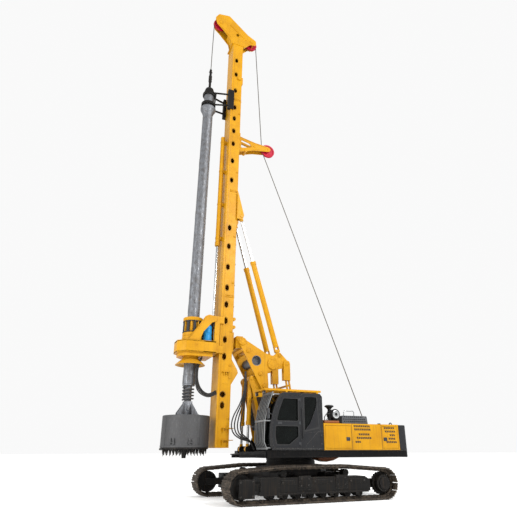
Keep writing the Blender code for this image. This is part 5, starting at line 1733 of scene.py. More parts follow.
@dataclass
class Cab(Assembly):
    """The driver's cab: shell, glass, door, guards, seat and controls."""

    rear: float = -0.46
    inner: float = 0.60
    outer: float = 1.495

    def pane(self, name: str, outline: Sequence[Corner], y: Point, body: str = "upper_body") -> None:
        """Glazes an opening with a pane.

        Args:
            name: The piece's name.
            outline: The opening's (x, z) line.
            y: The pane's faces.
            body: The body it rides on.
        """
        line = softened(outline, 8)
        bm = bmesh.new()
        plate(bm, line, *y)
        self.piece(name, bm, GLASS, body)

    def seal(self, name: str, outline: Sequence[Corner], y: Point, width: float, body: str) -> None:
        """Runs a rubber seal round an opening.

        Args:
            name: The piece's name.
            outline: The opening's (x, z) line.
            y: The seal's faces.
            width: How far the seal reaches into the opening.
            body: The body it rides on.
        """
        line = softened(outline, 8)
        middle = Vector((sum(p for p, _ in line) / len(line), sum(q for _, q in line) / len(line)))
        span = Vector(
            (
                max(p for p, _ in line) - min(p for p, _ in line),
                max(q for _, q in line) - min(q for _, q in line)
            )
        ) / 2
        scale = Vector((1 - width / span.x, 1 - width / span.y))
        hole = [
            (middle.x + (p - middle.x) * scale.x, middle.y + (q - middle.y) * scale.y) for p, q in line
        ]
        bm = bmesh.new()
        plate(bm, line, *y, [hole])
        self.piece(name, bm, SEAL, body)

    def glazing(self) -> None:
        """Glazes the quarter window, the inner side and the rear."""
        quarter = [(-0.33, 2.05), (0.22, 1.93), (0.22, 3.0, 0.05), (-0.27, 3.0, 0.05)]
        self.pane("quarter_window", quarter, (self.outer - 0.035, self.outer - 0.027))
        self.seal(
            "quarter_window_seal", quarter, (self.outer - 0.03, self.outer + 0.004), 0.028, "upper_body"
        )
        inner = [(-0.30, 2.1, 0.05), (1.10, 2.1, 0.05), (0.93, 2.98, 0.05), (-0.30, 2.98, 0.05)]
        self.pane("inner_window", inner, (self.inner + 0.02, self.inner + 0.028))
        self.seal(
            "inner_window_seal", inner, (self.inner - 0.004, self.inner + 0.03), 0.022, "upper_body"
        )
        bm = bmesh.new()
        block(
            bm, (self.rear + 0.02, self.rear + 0.028), (self.inner + 0.12, self.outer - 0.12),
            (2.45, 2.98)
        )
        self.piece("rear_window", bm, GLASS, "upper_body")
        upper = [
            (0.40, 2.24, 0.04), (1.17, 2.24, 0.04), (1.09, 2.55, 0.2), (0.93, 2.94, 0.04),
            (0.40, 2.94, 0.04)
        ]
        lower = [
            (0.40, 1.80, 0.04), (0.72, 1.56, 0.08), (1.16, 1.56, 0.04), (1.215, 1.80, 0.1),
            (1.20, 2.12, 0.04), (0.40, 2.12, 0.04)
        ]
        self.seal("door_upper_seal", upper, (self.outer - 0.045, self.outer + 0.004), 0.02, "cab_door")
        self.seal("door_lower_seal", lower, (self.outer - 0.045, self.outer + 0.004), 0.02, "cab_door")

    def door_fittings(self) -> None:
        """Sets the door's handle, hinges and grab rail."""
        bm = bmesh.new()
        y = self.outer
        block(bm, (0.98, 1.12), (y - 0.002, y + 0.012), (2.15, 2.21), 0.006)
        block(bm, (1.00, 1.09), (y + 0.010, y + 0.026), (2.165, 2.195), 0.005)
        for z in (1.60, 2.20, 2.90):
            rod(bm, (0.345, y + 0.008, z - 0.05), (0.345, y + 0.008, z + 0.05), 0.014, 20)
            block(bm, (0.345, 0.40), (y - 0.002, y + 0.010), about(z, 0.04), 0.003)
        self.piece("cab_door_fittings", bm, PANEL, "cab_door", smooth=32)
        rail = [(0.275, y, 1.75), (0.275, y + 0.035, 1.78), (0.275, y + 0.035, 2.62), (0.275, y, 2.65)]
        self.hose("cab_grab_rail", rail, 0.013, SEAL, "upper_body")

    def body_trim(self) -> None:
        """Presses the ribs and the sill into the cab's outer side, under its windows."""
        bm = bmesh.new()
        y = self.outer
        line = [(0.17, 1.50), (0.10, 1.60), (-0.22, 1.90), (-0.30, 1.935), (-0.45, 1.944)]
        for a, b in zip(line, line[1:]):
            beam(bm, (a[0], y + 0.002, a[1]), (b[0], y + 0.002, b[1]), 0.016, 0.024, 0.006)
        corner = softened(
            [
                (-0.36, 1.95), (0.235, 1.90), (0.20, 1.96, 0.03), (-0.02, 2.22, 0.25),
                (-0.20, 2.62, 0.3), (-0.30, 2.95), (-0.36, 2.95)
            ],
            10
        )
        plate(bm, corner, y - 0.03, y + 0.003)
        for z in (1.44, 1.455):
            block(bm, (self.rear + 0.01, 1.28), (y - 0.002, y + 0.004), (z, z + 0.008))
        block(bm, (-0.44, -0.36), (y - 0.002, y + 0.010), (1.78, 1.86), 0.006)
        bolts(
            bm, [(-0.40, y, 1.60), (-0.40, y, 2.95), (0.28, y, 3.05), (-0.10, y, 1.52)], (0, 1, 0), 0.012
        )
        self.piece("cab_body_trim", bm, ANTHRACITE, "upper_body")

    def roof_kit(self) -> None:
        """Mounts the guard's mesh, work lights, mirror and wiper."""
        bm = bmesh.new()
        for n in range(13):
            y = 0.72 + n * 0.058
            block(bm, (-0.38, 1.52), about(y, 0.006), (3.180, 3.196))
        for n in range(26):
            x = -0.36 + n * 0.074
            block(bm, about(x, 0.005), (0.69, 1.44), (3.172, 3.184))
        self.piece("roof_guard_mesh", bm, YELLOW, "upper_body")
        bm = bmesh.new()
        for y in (0.76, 1.36):
            rod(bm, (1.50, y, 3.09), (1.57, y, 3.08), 0.052, 32, 0.060)
            beam(bm, (1.50, y, 3.09), (1.50, y, 3.16), 0.03, 0.02)
        for y in (0.62, 1.47):
            beam(bm, (1.26, y, 2.42), (1.44, y + (0.10 if y > 1 else -0.04), 2.46), 0.018, 0.018)
            block(
                bm, (1.41, 1.47), (y - 0.05, y + 0.045) if y > 1 else (y - 0.03, y + 0.05), (2.30, 2.62),
                0.02
            )
        self.piece("work_lights_and_mirrors", bm, PANEL, "upper_body", smooth=32)
        bm = bmesh.new()
        for y in (0.76, 1.36):
            turned(
                bm, [(0, 0.004), (0.035, 0.002), (0.048, -0.004), (0, -0.004)], (1.574, y, 3.08), Axis.X,
                32
            )
        for y in (0.62, 1.47):
            block(
                bm, (1.404, 1.409), (y - 0.042, y + 0.038) if y > 1 else (y - 0.022, y + 0.042),
                (2.315, 2.605)
            )
        self.piece("lamp_and_mirror_glass", bm, CHROME, "upper_body")
        bm = bmesh.new()
        beam(bm, (1.385, 1.02, 1.62), (1.365, 1.20, 2.30), 0.012, 0.014)
        beam(bm, (1.377, 1.16, 1.95), (1.352, 1.24, 2.50), 0.010, 0.012)
        self.piece("wiper", bm, SEAL, "upper_body")
        bm = bmesh.new()
        curve = ((1.435, 1.47), (1.520, 1.66), (1.500, 2.25), (1.392, 2.69), (1.250, 3.06))
        for n in range(33):
            y = self.inner + 0.07 + n * (self.outer - self.inner - 0.14) / 32
            for (x1, z1), (x2, z2) in zip(curve, curve[1:]):
                beam(bm, (x1, y, z1), (x2, y, z2), 0.009, 0.009)
        for (x1, z1), (x2, z2) in zip(curve, curve[1:]):
            for n in range(4):
                x, z = x1 + (x2 - x1) * n / 4, z1 + (z2 - z1) * n / 4
                block(bm, about(x, 0.004), (self.inner + 0.07, self.outer - 0.07), about(z, 0.006))
        self.piece("front_guard_mesh", bm, DECK, "upper_body")

    def seat(self) -> None:
        """Sews the driver's seat: crowned cushion, back and headrest with side bolsters."""
        y = (self.inner + self.outer) / 2
        parts = (
            ("seat_cushion", (0.02, 0.49), about(y, 0.23), (1.87, 1.975), 0.0, 0.62),
            ("seat_back", (-0.055, 0.045), about(y, 0.22), (1.98, 2.47), -0.14, 0.60),
            ("seat_headrest", (-0.05, 0.03), about(y, 0.12), (2.49, 2.62), -0.14, 0.7),
        )
        for name, x, across, z, lean, fill in parts:
            bm = bmesh.new()
            block(bm, x, across, z)
            bmesh.ops.subdivide_edges(bm, edges=bm.edges, cuts=9, use_grid_fill=True)
            middle = Vector((sum(x) / 2, sum(across) / 2, sum(z) / 2))
            half = Vector(((x[1] - x[0]) / 2, (across[1] - across[0]) / 2, (z[1] - z[0]) / 2))
            thin = 2 if name == "seat_cushion" else 0
            wide = 0 if thin == 2 else 2
            for vert in bm.verts:
                off = vert.co - middle
                share = Vector((off.x / half.x, off.y / half.y, off.z / half.z))
                crown = (1 - share.y**2) * (1 - share[wide] ** 2)
                bolster = math.exp(-(((abs(share.y) - 0.80) / 0.13) ** 2)) * 0.35
                groove = 0.30 * math.exp(-(((abs(share.y) - 0.55) / 0.05) ** 2))
                channel = 0.14 * max(
                    0.0, math.cos(share[wide] * math.pi * 4)
                ) if abs(share.y) < 0.5 else 0.0
                outward = share[thin] * half[thin]
                if share[thin] > 0 or thin == 0:
                    off[thin] += outward * (0.28 * crown + bolster - groove - channel) * 0.8
                off.y *= 1 - 0.05 * share[thin] ** 2 - 0.04 * share[wide] ** 2
                off[wide] *= 1 - 0.05 * share.y**2
                vert.co = middle + off
            for vert in bm.verts:
                vert.co.x += lean * (vert.co.z - 1.92)
            bmesh.ops.smooth_vert(
                bm, verts=bm.verts, factor=0.5, use_axis_x=True, use_axis_y=True, use_axis_z=True
            )
            made = self.piece(
                name, bm, CLOTH, "upper_body", ["seat"] if name == "seat_cushion" else (), smooth=180
            )
            soft = made.modifiers.new("soft_skin", "SUBSURF")
            soft.levels = soft.render_levels = 1
        bm = bmesh.new()
        block(bm, (0.06, 0.44), about(y, 0.18), (1.472, 1.50), 0.008)
        block(bm, (0.12, 0.38), about(y, 0.14), (1.50, 1.80), 0.02)
        for n in range(5):
            block(bm, (0.10, 0.40), about(y, 0.16), (1.53 + n * 0.052, 1.555 + n * 0.052), 0.01)
        block(bm, (0.05, 0.46), about(y, 0.21), (1.80, 1.868), 0.01)
        for sign in (1, -1):
            block(bm, (-0.02, 0.32), (y + sign * 0.25, y + sign * 0.31), (2.12, 2.17), 0.02)
            beam(bm, (-0.02, y + sign * 0.25, 2.13), (-0.02, y + sign * 0.24, 1.86), 0.03, 0.04, 0.005)
        self.piece("seat_base", bm, PANEL, "upper_body")

    def controls(self) -> None:
        """Adds the console's screen, two joysticks, pedals and the floor mat."""
        self.dressed("console", PANEL, 0.012)
        bm = bmesh.new()
        y = (self.inner + self.outer) / 2
        for sign in (1, -1):
            block(bm, (0.20, 0.46), (y + sign * 0.27, y + sign * 0.35), (1.98, 2.08), 0.015)
            rod(bm, (0.40, y + sign * 0.31, 2.08), (0.42, y + sign * 0.31, 2.20), 0.016, 20, 0.010)
            turned(
                bm, [(0, 2.30), (0.018, 2.295), (0.026, 2.26), (0.020, 2.20), (0, 2.20)],
                (0.425, y + sign * 0.31, 0), Axis.Z, 24
            )
            block(bm, (0.20, 0.40), (y + sign * 0.28, y + sign * 0.33), (1.50, 1.99), 0.01)
        for sign in (1, -1):
            beam(bm, (0.98, y + sign * 0.09, 1.50), (0.92, y + sign * 0.09, 1.66), 0.07, 0.012, 0.003)
            beam(bm, (0.96, y + sign * 0.09, 1.58), (0.84, y + sign * 0.09, 1.98), 0.014, 0.014)
        block(bm, (1.02, 1.05), (0.70, 0.92), (2.12, 2.32), 0.01)
        beam(bm, (1.03, 0.71, 2.2), (1.05, 0.68, 2.05), 0.02, 0.02)
        block(bm, (0.5, 1.2), (0.68, 1.40), (1.475, 1.486), 0.003)
        self.piece("cab_controls", bm, PANEL, "upper_body", smooth=32)

    def walkway(self) -> None:
        """Fits the front step with tread slots and a toe board."""
        self.dressed("front_walkway", BLACK, 0.004)
        bm = bmesh.new()
        for n in range(15):
            for m in range(7):
                x, y = 1.58 + n * 0.055, 0.70 + m * 0.10
                if x + 0.03 < 2.10 + (y - 0.62) * 0.9:
                    rod(
                        bm, (x, y + 0.02 * (n % 2), 1.3195), (x, y + 0.02 * (n % 2), 1.327), 0.013, 8,
                        0.008
                    )
        beam(bm, (1.52, 1.455, 1.345), (2.34, 1.455, 1.345), 0.012, 0.05, 0.003)
        self.piece("walkway_tread", bm, BLACK, "upper_body")

    def build(self) -> None:
        """Builds the cab."""
        for node, finish, bevel in (
            ("cab_shell", ANTHRACITE, 0.014),
            ("cab_door", ANTHRACITE, 0.006),
            ("door_glass", GLASS, 0.001),
            ("windscreen", GLASS, 0.001),
            ("cab_roof_guard", YELLOW, 0.006),
            ("cab_front_guard", GUARD, 0.003),
        ):
            self.dressed(node, finish, bevel)
        self.glazing()
        self.door_fittings()
        self.body_trim()
        self.roof_kit()
        self.seat()
        self.controls()
        self.walkway()


@dataclass
class Cylinder(Assembly):
    """A hydraulic cylinder: a turned barrel with its gland, and a chromed rod."""

    side: Side = Side.LEFT
    role: Role = Role.LUFF
    foot: Place = (0, 0, 0)  # the barrel's pin
    head: Place = (0, 0, 1)  # the rod's pin
    barrel_radius: float = 0.07
    rod_radius: float = 0.04
    barrel_ends: tuple[float, float] = (0.05, 1.48)
    rod_ends: tuple[float, float] = (0.48, 0.05)
    eye_radius: float = 0.085
    rod_eye_half: float = 0.07

    def sleeve(self, bm: Mesh, profile: Sequence[Point]) -> None:
        """Turns a profile about the cylinder's own line.

        Args:
            bm: The mesh to add to.
            profile: Points as (radius, distance from the barrel's pin).
        """
        before = len(bm.verts)
        turned(bm, profile, (0, 0, 0), Axis.Z, 48)
        bm.verts.ensure_lookup_table()
        start = Vector(self.foot)
        turn = Vector((0, 0, 1)).rotation_difference(Vector(self.head) - start).to_matrix().to_4x4()
        moved(bm, bm.verts[before:], Matrix.Translation(start) @ turn)

    def build(self) -> None:
        """Builds both halves."""
        run = (Vector(self.head) - Vector(self.foot)).length
        low, high = self.barrel_ends
        r, rod_r, eye, half = self.barrel_radius, self.rod_radius, self.eye_radius, self.rod_eye_half
        role, side = self.role.value, self.side.word
        barrel_body, rod_body = f"{role}_barrel_{side}", f"{role}_rod_{side}"
        bm = bmesh.new()
        barrel = [
            (rod_r + 0.001, high), (r + 0.004, high), (r + 0.012, high - 0.008),
            (r + 0.012, high - 0.055), (r + 0.004, high - 0.06)
        ]
        barrel += [
            (r + 0.004, high - 0.07), (r + 0.012, high - 0.075), (r + 0.012, high - 0.115),
            (r, high - 0.125), (r, low + 0.03), (r - 0.012, low)
        ]
        barrel += [(rod_r + 0.001, low)]
        self.sleeve(bm, barrel)
        self.piece(f"{role}_barrel_tube_{side}", bm, YELLOW, barrel_body, smooth=30)
        bm = bmesh.new()
        start, end = self.rod_ends
        self.sleeve(
            bm,
            [
                (0, start), (rod_r, start), (rod_r, run - end - 0.01), (rod_r - 0.008, run - end),
                (0, run - end)
            ]
        )
        self.piece(f"{role}_rod_shaft_{side}", bm, CHROME, rod_body, smooth=30)
        bm = bmesh.new()
        rim = [(eye - 0.03, -half), (eye, -half + 0.008), (eye, half - 0.008), (eye - 0.03, half)]
        turned(bm, [(0.0, -half)] + rim + [(0.0, half)], self.head, Axis.Y, 40)
        near, far = run - eye - 0.07, run - eye + 0.03
        self.sleeve(bm, [(0, near), (rod_r + 0.012, near), (rod_r + 0.018, far), (0, far)])
        self.piece(f"{role}_rod_eye_{side}", bm, YELLOW, rod_body, [rod_body], smooth=30)
        self.dressed(barrel_body, YELLOW, 0.003)
        if self.role is Role.STAY:
            self.dressed(f"stay_yoke_{side}", YELLOW, 0.005)


@dataclass
class Linkage(Assembly):
    """Boom, delta frame, support rods and cross head, with their pins."""

    boss_pins: tuple[tuple[float, float, float, float], ...] = (
        (0.869, 4.15, 0.56, 0.20),
        (1.99, 4.83, 0.55, 0.13),
        (1.18, 3.42, 0.54, 0.085),
        (0.37, 4.175, 0.59, 0.075),
        (0.622, 4.459, 0.55, 0.060),
        (1.76, 4.54, 0.54, 0.085),
        (1.317, 3.81, 0.54, 0.085),
    )

    def bosses(self) -> None:
        """Turns the pins' caps on both faces of the delta frame, and those of the tower with their keeper
        plates.
        """
        bm = bmesh.new()
        for x, z, y, r in self.boss_pins:
            cap = [
                (0, 0.012), (r * 0.45, 0.012), (r * 0.50, 0.004), (r * 0.66, 0.004), (r * 0.70, 0.014),
                (r * 0.95, 0.012), (r, 0.002), (r, -0.03), (0, -0.03)
            ]
            turned(bm, cap, (x, y, z), Axis.Y, 40)
            bolt_circle(bm, (x, z), r * 0.83, 6, y + 0.012, (0, 1, 0), r * 0.07)
        mirrored_y(bm)
        self.piece("delta_pin_caps", bm, YELLOW, "delta_frame", smooth=32)
        bm = bmesh.new()
        for x, z, y, r in ((0.95, 1.72, 0.482, 0.075), (0.14, 2.475, 0.587, 0.055)):
            turned(
                bm, [(0, 0.012), (r * 0.8, 0.012), (r, 0.004), (r, -0.02), (0, -0.02)], (x, y, z),
                Axis.Y, 36
            )
            beam(
                bm, (x - 0.02, y + 0.008, z + r * 1.3), (x + 0.06, y + 0.008, z + r * 1.3), 0.012, 0.035,
                0.003
            )
            bolts(
                bm, [(x, y + 0.014, z + r * 1.3), (x + 0.045, y + 0.014, z + r * 1.3)], (0, 1, 0), 0.010
            )
        mirrored_y(bm)
        self.piece("tower_pin_caps", bm, YELLOW, "upper_body", smooth=32)
        bm = bmesh.new()
        drum = [
            (0.150, 0.522), (0.172, 0.527), (0.172, 0.520), (0.164, 0.515), (0.164, -0.515),
            (0.172, -0.520), (0.172, -0.527), (0.150, -0.522)
        ]
        turned(bm, drum, (1.472, 0, 4.22), Axis.Y, 48)
        turned(bm, [(0, 0.40), (0.151, 0.40), (0.151, 0.385), (0, 0.385)], (1.472, 0, 4.22), Axis.Y, 48)
        for x, z in arc_points((1.472, 4.22), 0.09, 6):
            turned(
                bm, [(0.020, 0.408), (0.030, 0.408), (0.030, 0.395), (0.020, 0.395)], (x, 0, z), Axis.Y,
                20
            )
        self.piece("delta_cross_tube", bm, CAGE, "delta_frame", smooth=32)

    def weld_plates(self) -> None:
        """Lays doubler plates on the boom's cheeks."""
        bm = bmesh.new()
        out = 0.42
        ring = softened(
            [(0.84, 1.74, 0.08), (0.97, 1.60, 0.08), (1.12, 1.72, 0.06), (1.16, 2.0), (0.96, 2.0)]
        )
        plate(bm, ring, out - 0.002, out + 0.010)
        top = softened(
            [
                (1.02, 3.30), (1.30, 3.22), (1.46, 3.36, 0.05), (1.42, 3.56, 0.06), (1.20, 3.54, 0.06),
                (1.02, 3.48, 0.06)
            ]
        )
        plate(bm, top, out - 0.002, out + 0.010)
        luff = arc_points((1.60, 3.65), 0.072, 32)
        plate(bm, luff, out - 0.002, out + 0.014)
        bolts(
            bm,
            [
                (1.60 + 0.05 * math.cos(a), out + 0.014, 3.65 + 0.05 * math.sin(a))
                for a in (0.5, 2.6, 4.7)
            ],
            (0, 1, 0), 0.009
        )
        mirrored_y(bm)
        self.piece("boom_doublers", bm, YELLOW, "boom", bevel=0.003)
        # Dark plates over the openings in the cheeks: the painted shade of their insides.
        bm = bmesh.new()
        for z0, z1, x0, x1 in ((2.15, 2.55, 0.98, 1.05), (2.75, 3.05, 1.10, 1.17)):
            plate(
                bm,
                softened([(x0, z0, 0.03), (x0 + 0.24, z0, 0.03), (x1 + 0.26, z1, 0.03), (x1, z1, 0.03)]),
                out - 0.001, out + 0.004
            )
        mirrored_y(bm)
        self.piece("boom_openings", bm, SLIT_SHADE, "boom")

    def hoses(self) -> None:
        """Clamps the bundled pipes along the boom."""
        for n, y in enumerate((-0.15, -0.09, -0.03, 0.03, 0.09, 0.15)):
            line = [(1.30, y, 2.02), (1.44, y, 2.55), (1.53, y, 2.95), (1.44, y, 3.06)]
            self.hose(f"boom_pipe_{n}", line, 0.016, BLACK, "boom")
        bm = bmesh.new()
        for x, z in ((1.335, 2.14), (1.44, 2.52), (1.52, 2.90)):
            beam(bm, (x, -0.20, z), (x, 0.20, z), 0.05, 0.045, 0.006)
        self.piece("boom_pipe_clamps", bm, BLACK, "boom")

    def build(self) -> None:
        """Builds the linkage."""
        for node, bevel in (
            ("boom", 0.006), ("delta_frame", 0.006), ("support_rods", 0.005), ("cross_head", 0.008)
        ):
            self.dressed(node, YELLOW, bevel)
        self.bosses()
        self.weld_plates()
        self.hoses()


@dataclass
class Mast(Assembly):
    """The box mast with its rails, splices and brackets, and its head."""

    rear: float = 2.292
    front: float = 2.752
    half: float = 0.335
    low: float = 1.486
    top: float = 18.35
    slot_z: tuple[float, ...] = (
        2.75, 4.31, 4.88, 5.54, 6.12, 6.74, 7.53, 8.35, 9.11, 11.20, 12.10, 12.93, 13.57, 14.21, 14.79,
        15.70, 16.60, 17.40
    )
    splices: tuple[float, ...] = (6.44, 10.72, 15.22)

    def slot_rims(self) -> None:
        """Lays a thin dark rim round every lightening slot, painted shade that makes the slot's dark inside
        look larger.
        """
        bm = bmesh.new()
        x = (self.rear + self.front) / 2 + 0.04
        for z in self.slot_z:
            line = slot_outline(x, z, 0.135, 0.250, 12)
            hole = slot_outline(x, z, 0.126, 0.241, 12)
            plate(bm, line, self.half - 0.004, self.half + 0.007, [hole])
        plate(
            bm, arc_points((x, 3.09), 0.098, 32), self.half - 0.004, self.half + 0.007,
            [arc_points((x, 3.09), 0.0865, 32)]
        )
        mirrored_y(bm)
        self.piece("mast_slot_rims", bm, SLIT_SHADE, "mast", smooth=32)

    def splice_plates(self) -> None:
        """Bolts the mast's sections together at their flanges."""
        bm = bmesh.new()
        for z in self.splices:
            for sign in (1, -1):
                y = sign * self.half
                block(
                    bm, (self.rear + 0.01, self.front - 0.15), on_face(y, sign, 0.016),
                    (z - 0.05, z - 0.006), 0.003
                )
                block(
                    bm, (self.rear + 0.01, self.front - 0.15), on_face(y, sign, 0.016),
                    (z + 0.006, z + 0.05), 0.003
                )
                bolts(
                    bm,
                    [
                        (self.rear + 0.05 + n * 0.048, y + sign * 0.016, z + s * 0.028) for n in range(6)
                        for s in (1, -1)
                    ],
                    (0, sign, 0), 0.011
                )
            block(bm, (self.rear - 0.020, self.rear + 0.004), (-0.31, 0.31), about(z, 0.05), 0.004)
            bolts(
                bm,
                [
                    (self.rear - 0.020, -0.27 + n * 0.09, z + s * 0.028) for n in range(7)
                    for s in (1, -1)
                ],
                (-1, 0, 0), 0.011
            )
        self.piece("mast_splices", bm, YELLOW, "mast")

    def rails(self) -> None:
        """Lays the running strips along the front corners, in the yellow paint."""
        bm = bmesh.new()
        for sign in (1, -1):
            outer = sign * (self.half + 0.028)
            block(
                bm, (self.front - 0.058, self.front - 0.006),
                (outer - sign * 0.004, outer + sign * 0.002), (self.low + 0.05, self.top - 0.15)
            )
            block(
                bm, (self.front - 0.004, self.front + 0.0002),
                (sign * (self.half - 0.055), outer - sign * 0.004), (self.low + 0.05, self.top - 0.15)
            )
        self.piece("mast_running_strips", bm, YELLOW, "mast")

    def brackets(self) -> None:
        """Sets the foot shelves, cable hooks, side lugs and the bumper stops."""
        bm = bmesh.new()
        for sign in (1, -1):
            y = sign * self.half
            for z in (2.06, 1.71):
                block(
                    bm, (self.rear - 0.02, self.front - 0.20), on_face(y, sign, 0.085), about(z, 0.010),
                    0.003
                )
                plate(
                    bm,
                    [
                        (self.rear + 0.03, z - 0.16), (self.rear + 0.05, z - 0.16),
                        (self.rear + 0.05, z), (self.rear + 0.03, z)
                    ],
                    *on_face(y, sign, 0.075)
                )
                plate(
                    bm, [(2.50, z - 0.12), (2.52, z - 0.12), (2.52, z), (2.50, z)],
                    *on_face(y, sign, 0.075)
                )
            for z in (2.36, 3.62, 4.02, 5.18, 6.95, 8.78, 11.6, 14.5):
                block(
                    bm, (self.rear + 0.02, self.rear + 0.10), on_face(y, sign, 0.02), about(z, 0.03),
                    0.005
                )
                bolts(bm, [(self.rear + 0.06, y + sign * 0.02, z)], (0, sign, 0), 0.016)
            block(
                bm, (self.rear + 0.06, self.front - 0.14), on_face(y, sign, 0.060), (3.80, 3.825), 0.004
            )
            for x in (2.38, 2.46, 2.54):
                block(bm, (x, x + 0.02), on_face(y, sign, 0.050), (3.70, 3.81), 0.003)
            hook = softened(
                [
                    (2.36, 2.20), (2.42, 2.16, 0.02), (2.44, 1.98, 0.02), (2.40, 1.98), (2.385, 2.12),
                    (2.34, 2.16)
                ]
            )
            plate(bm, hook, *on_face(y, sign, 0.018))
            block(
                bm, (self.front - 0.09, self.front), on_face(y, sign, 0.026),
                (self.low, self.low + 0.08), 0.004
            )
        for z in (2.6, 3.4, 4.9, 7.0, 8.4, 11.3, 12.6, 14.2, 15.4, 17.4):
            block(bm, (self.rear - 0.012, self.rear + 0.002), (-0.30, 0.30), about(z, 0.03), 0.003)
        block(
            bm, (self.rear + 0.12, self.front - 0.15), (self.half - 0.004, self.half + 0.008),
            (3.42, 3.46), 0.002
        )
        block(bm, (2.36, 2.49), (self.half - 0.004, self.half + 0.07), (16.32, 16.45), 0.01)
        self.piece("mast_brackets", bm, YELLOW, "mast")

    def pipes(self) -> None:
        """Runs the feed cylinder's pipes up the mast's rear face, with their clamps."""
        for n, y in enumerate((-0.22, -0.17, 0.17, 0.22)):
            self.hose(
                f"mast_pipe_{n}", [(self.rear - 0.028, y, 5.9), (self.rear - 0.028, y, 9.5)], 0.013,
                BLACK, "mast"
            )
        bm = bmesh.new()
        for z in (6.1, 6.9, 7.7, 8.5, 9.3):
            for sign in (1, -1):
                block(
                    bm, (self.rear - 0.045, self.rear + 0.002), (sign * 0.145, sign * 0.245),
                    about(z, 0.025), 0.004
                )
        self.piece("mast_pipe_clamps", bm, BLACK, "mast")

    def head_trim(self) -> None:
        """Adds pin keepers, rope guards and stiffening lips to the mast's head."""
        bm = bmesh.new()
        for x, z, r in ((3.334, 19.55, 0.10), (1.83, 18.98, 0.10), (2.50, 19.10, 0.0)):
            if r:
                turned(
                    bm, [(0, 0.024), (0.05, 0.024), (0.055, 0.016), (r, 0.014), (r, -0.01), (0, -0.01)],
                    (x, 0.20, z), Axis.Y, 36
                )
                bolt_circle(bm, (x, z), r * 0.8, 6, 0.214, (0, 1, 0), 0.009)
            else:
                plate(bm, arc_points((x, z), 0.115, 32), 0.198, 0.210, [arc_points((x, z), 0.091, 32)])
        rim = [(2.80, 18.78), (3.24, 19.20), (3.42, 19.38)]
        for a, b in zip(rim, rim[1:]):
            beam(bm, (a[0], 0.205, a[1]), (b[0], 0.205, b[1]), 0.022, 0.018, 0.003)
        beam(bm, (2.10, 0.205, 18.93), (2.90, 0.205, 19.58), 0.022, 0.018, 0.003)
        mirrored_y(bm)
        for x, z in ((3.56, 19.72), (3.18, 19.90), (1.66, 19.02), (1.78, 18.78)):
            rod(bm, (x, -0.185, z), (x, 0.185, z), 0.016, 20)
        bolts(
            bm, [(x, y, 18.392) for x in (2.27, 2.40, 2.53, 2.66, 2.77) for y in (-0.33, 0.33)],
            (0, 0, 1), 0.014
        )
        block(bm, (2.30, 2.34), (0.24, 0.34), (18.36, 18.50), 0.006)
        self.piece("mast_head_trim", bm, YELLOW, "mast", smooth=32)

    def arm_trim(self) -> None:
        """Adds bosses and bolts to the rear guide arm."""
        bm = bmesh.new()
        for x, z, r, y in (
            (0.915, 13.245, 0.075, 0.15), (1.55, 13.22, 0.065, 0.15), (1.95, 12.90, 0.065, 0.15)
        ):
            turned(
                bm, [(0, 0.024), (r * 0.5, 0.024), (r * 0.6, 0.014), (r, 0.012), (r, -0.01), (0, -0.01)],
                (x, y, z), Axis.Y, 32
            )
        for x, z in ((2.20, 13.45), (2.20, 13.30), (2.20, 13.15), (2.20, 13.0), (2.20, 12.85)):
            bolts(bm, [(x + 0.05, 0.24, z)], (-1, 0, 0), 0.014)
        beam(bm, (1.05, 0.155, 13.30), (2.18, 0.155, 13.50), 0.012, 0.016, 0.002)
        beam(bm, (1.05, 0.155, 13.18), (1.60, 0.155, 13.05), 0.012, 0.016, 0.002)
        mirrored_y(bm)
        self.piece("guide_arm_trim", bm, YELLOW, "mast", smooth=32)

    def sheave(self, node: str, centre: tuple[float, float], hub: float) -> None:
        """Turns a cast rope sheave with a grooved rim and lightening holes.

        Args:
            node: The CAD node and body that it stands for.
            centre: Its (x, z) middle.
            hub: Half of its hub's width.
        """
        bm = bmesh.new()
        half = [
            (0.045, hub), (0.078, hub), (0.082, hub - 0.006), (0.085, 0.022), (0.20, 0.012),
            (0.225, 0.016), (0.245, 0.040), (0.292, 0.045), (0.300, 0.038), (0.262, 0.012)
        ]
        profile = half + [(0.256, 0.0)] + flipped(half)
        turned(bm, profile, (centre[0], 0, centre[1]), Axis.Y, 80)
        for x, z in arc_points(centre, 0.145, 6):
            for sign in (1, -1):
                turned(
                    bm, [(0.028, 0.004), (0.036, 0.004), (0.036, -0.004), (0.028, -0.004)],
                    (x, sign * 0.019, z), Axis.Y, 24
                )
        self.piece(f"{node}_turned", bm, CRIMSON, node, [node], smooth=28)

    def build(self) -> None:
        """Builds the mast and its head."""
        for node, bevel in (("mast", 0.005), ("mast_head", 0.006), ("guide_arm", 0.005)):
            self.dressed(node, YELLOW, bevel)
        self.slot_rims()
        self.splice_plates()
        self.rails()
        self.brackets()
        self.pipes()
        self.head_trim()
        self.arm_trim()
        self.sheave("front_sheave", (3.334, 19.55), 0.1697)
        self.sheave("rear_sheave", (1.83, 18.98), 0.1697)
        self.sheave("guide_pulley", (0.915, 13.245), 0.1197)
        bm = bmesh.new()
        barrel = [
            (0.046, 8.43), (0.090, 8.43), (0.097, 8.44), (0.097, 8.50), (0.090, 8.51), (0.090, 8.52),
            (0.097, 8.53), (0.097, 8.575), (0.085, 8.59), (0.085, 13.33), (0.07, 13.35), (0, 13.35),
            (0, 13.15), (0.046, 13.15)
        ]
        turned(bm, barrel, (2.905, 0, 0), Axis.Z, 48)
        for z in (8.75, 10.2, 11.7, 13.1):
            block(bm, (self.front + 0.001, 2.90), (-0.07, 0.07), about(z, 0.06), 0.006)
            turned(
                bm, [(0.086, z - 0.03), (0.094, z - 0.03), (0.094, z + 0.03), (0.086, z + 0.03)],
                (2.905, 0, 0), Axis.Z, 48
            )
        self.piece("crowd_barrel_turned", bm, YELLOW, "mast", ["crowd_barrel"], smooth=30)


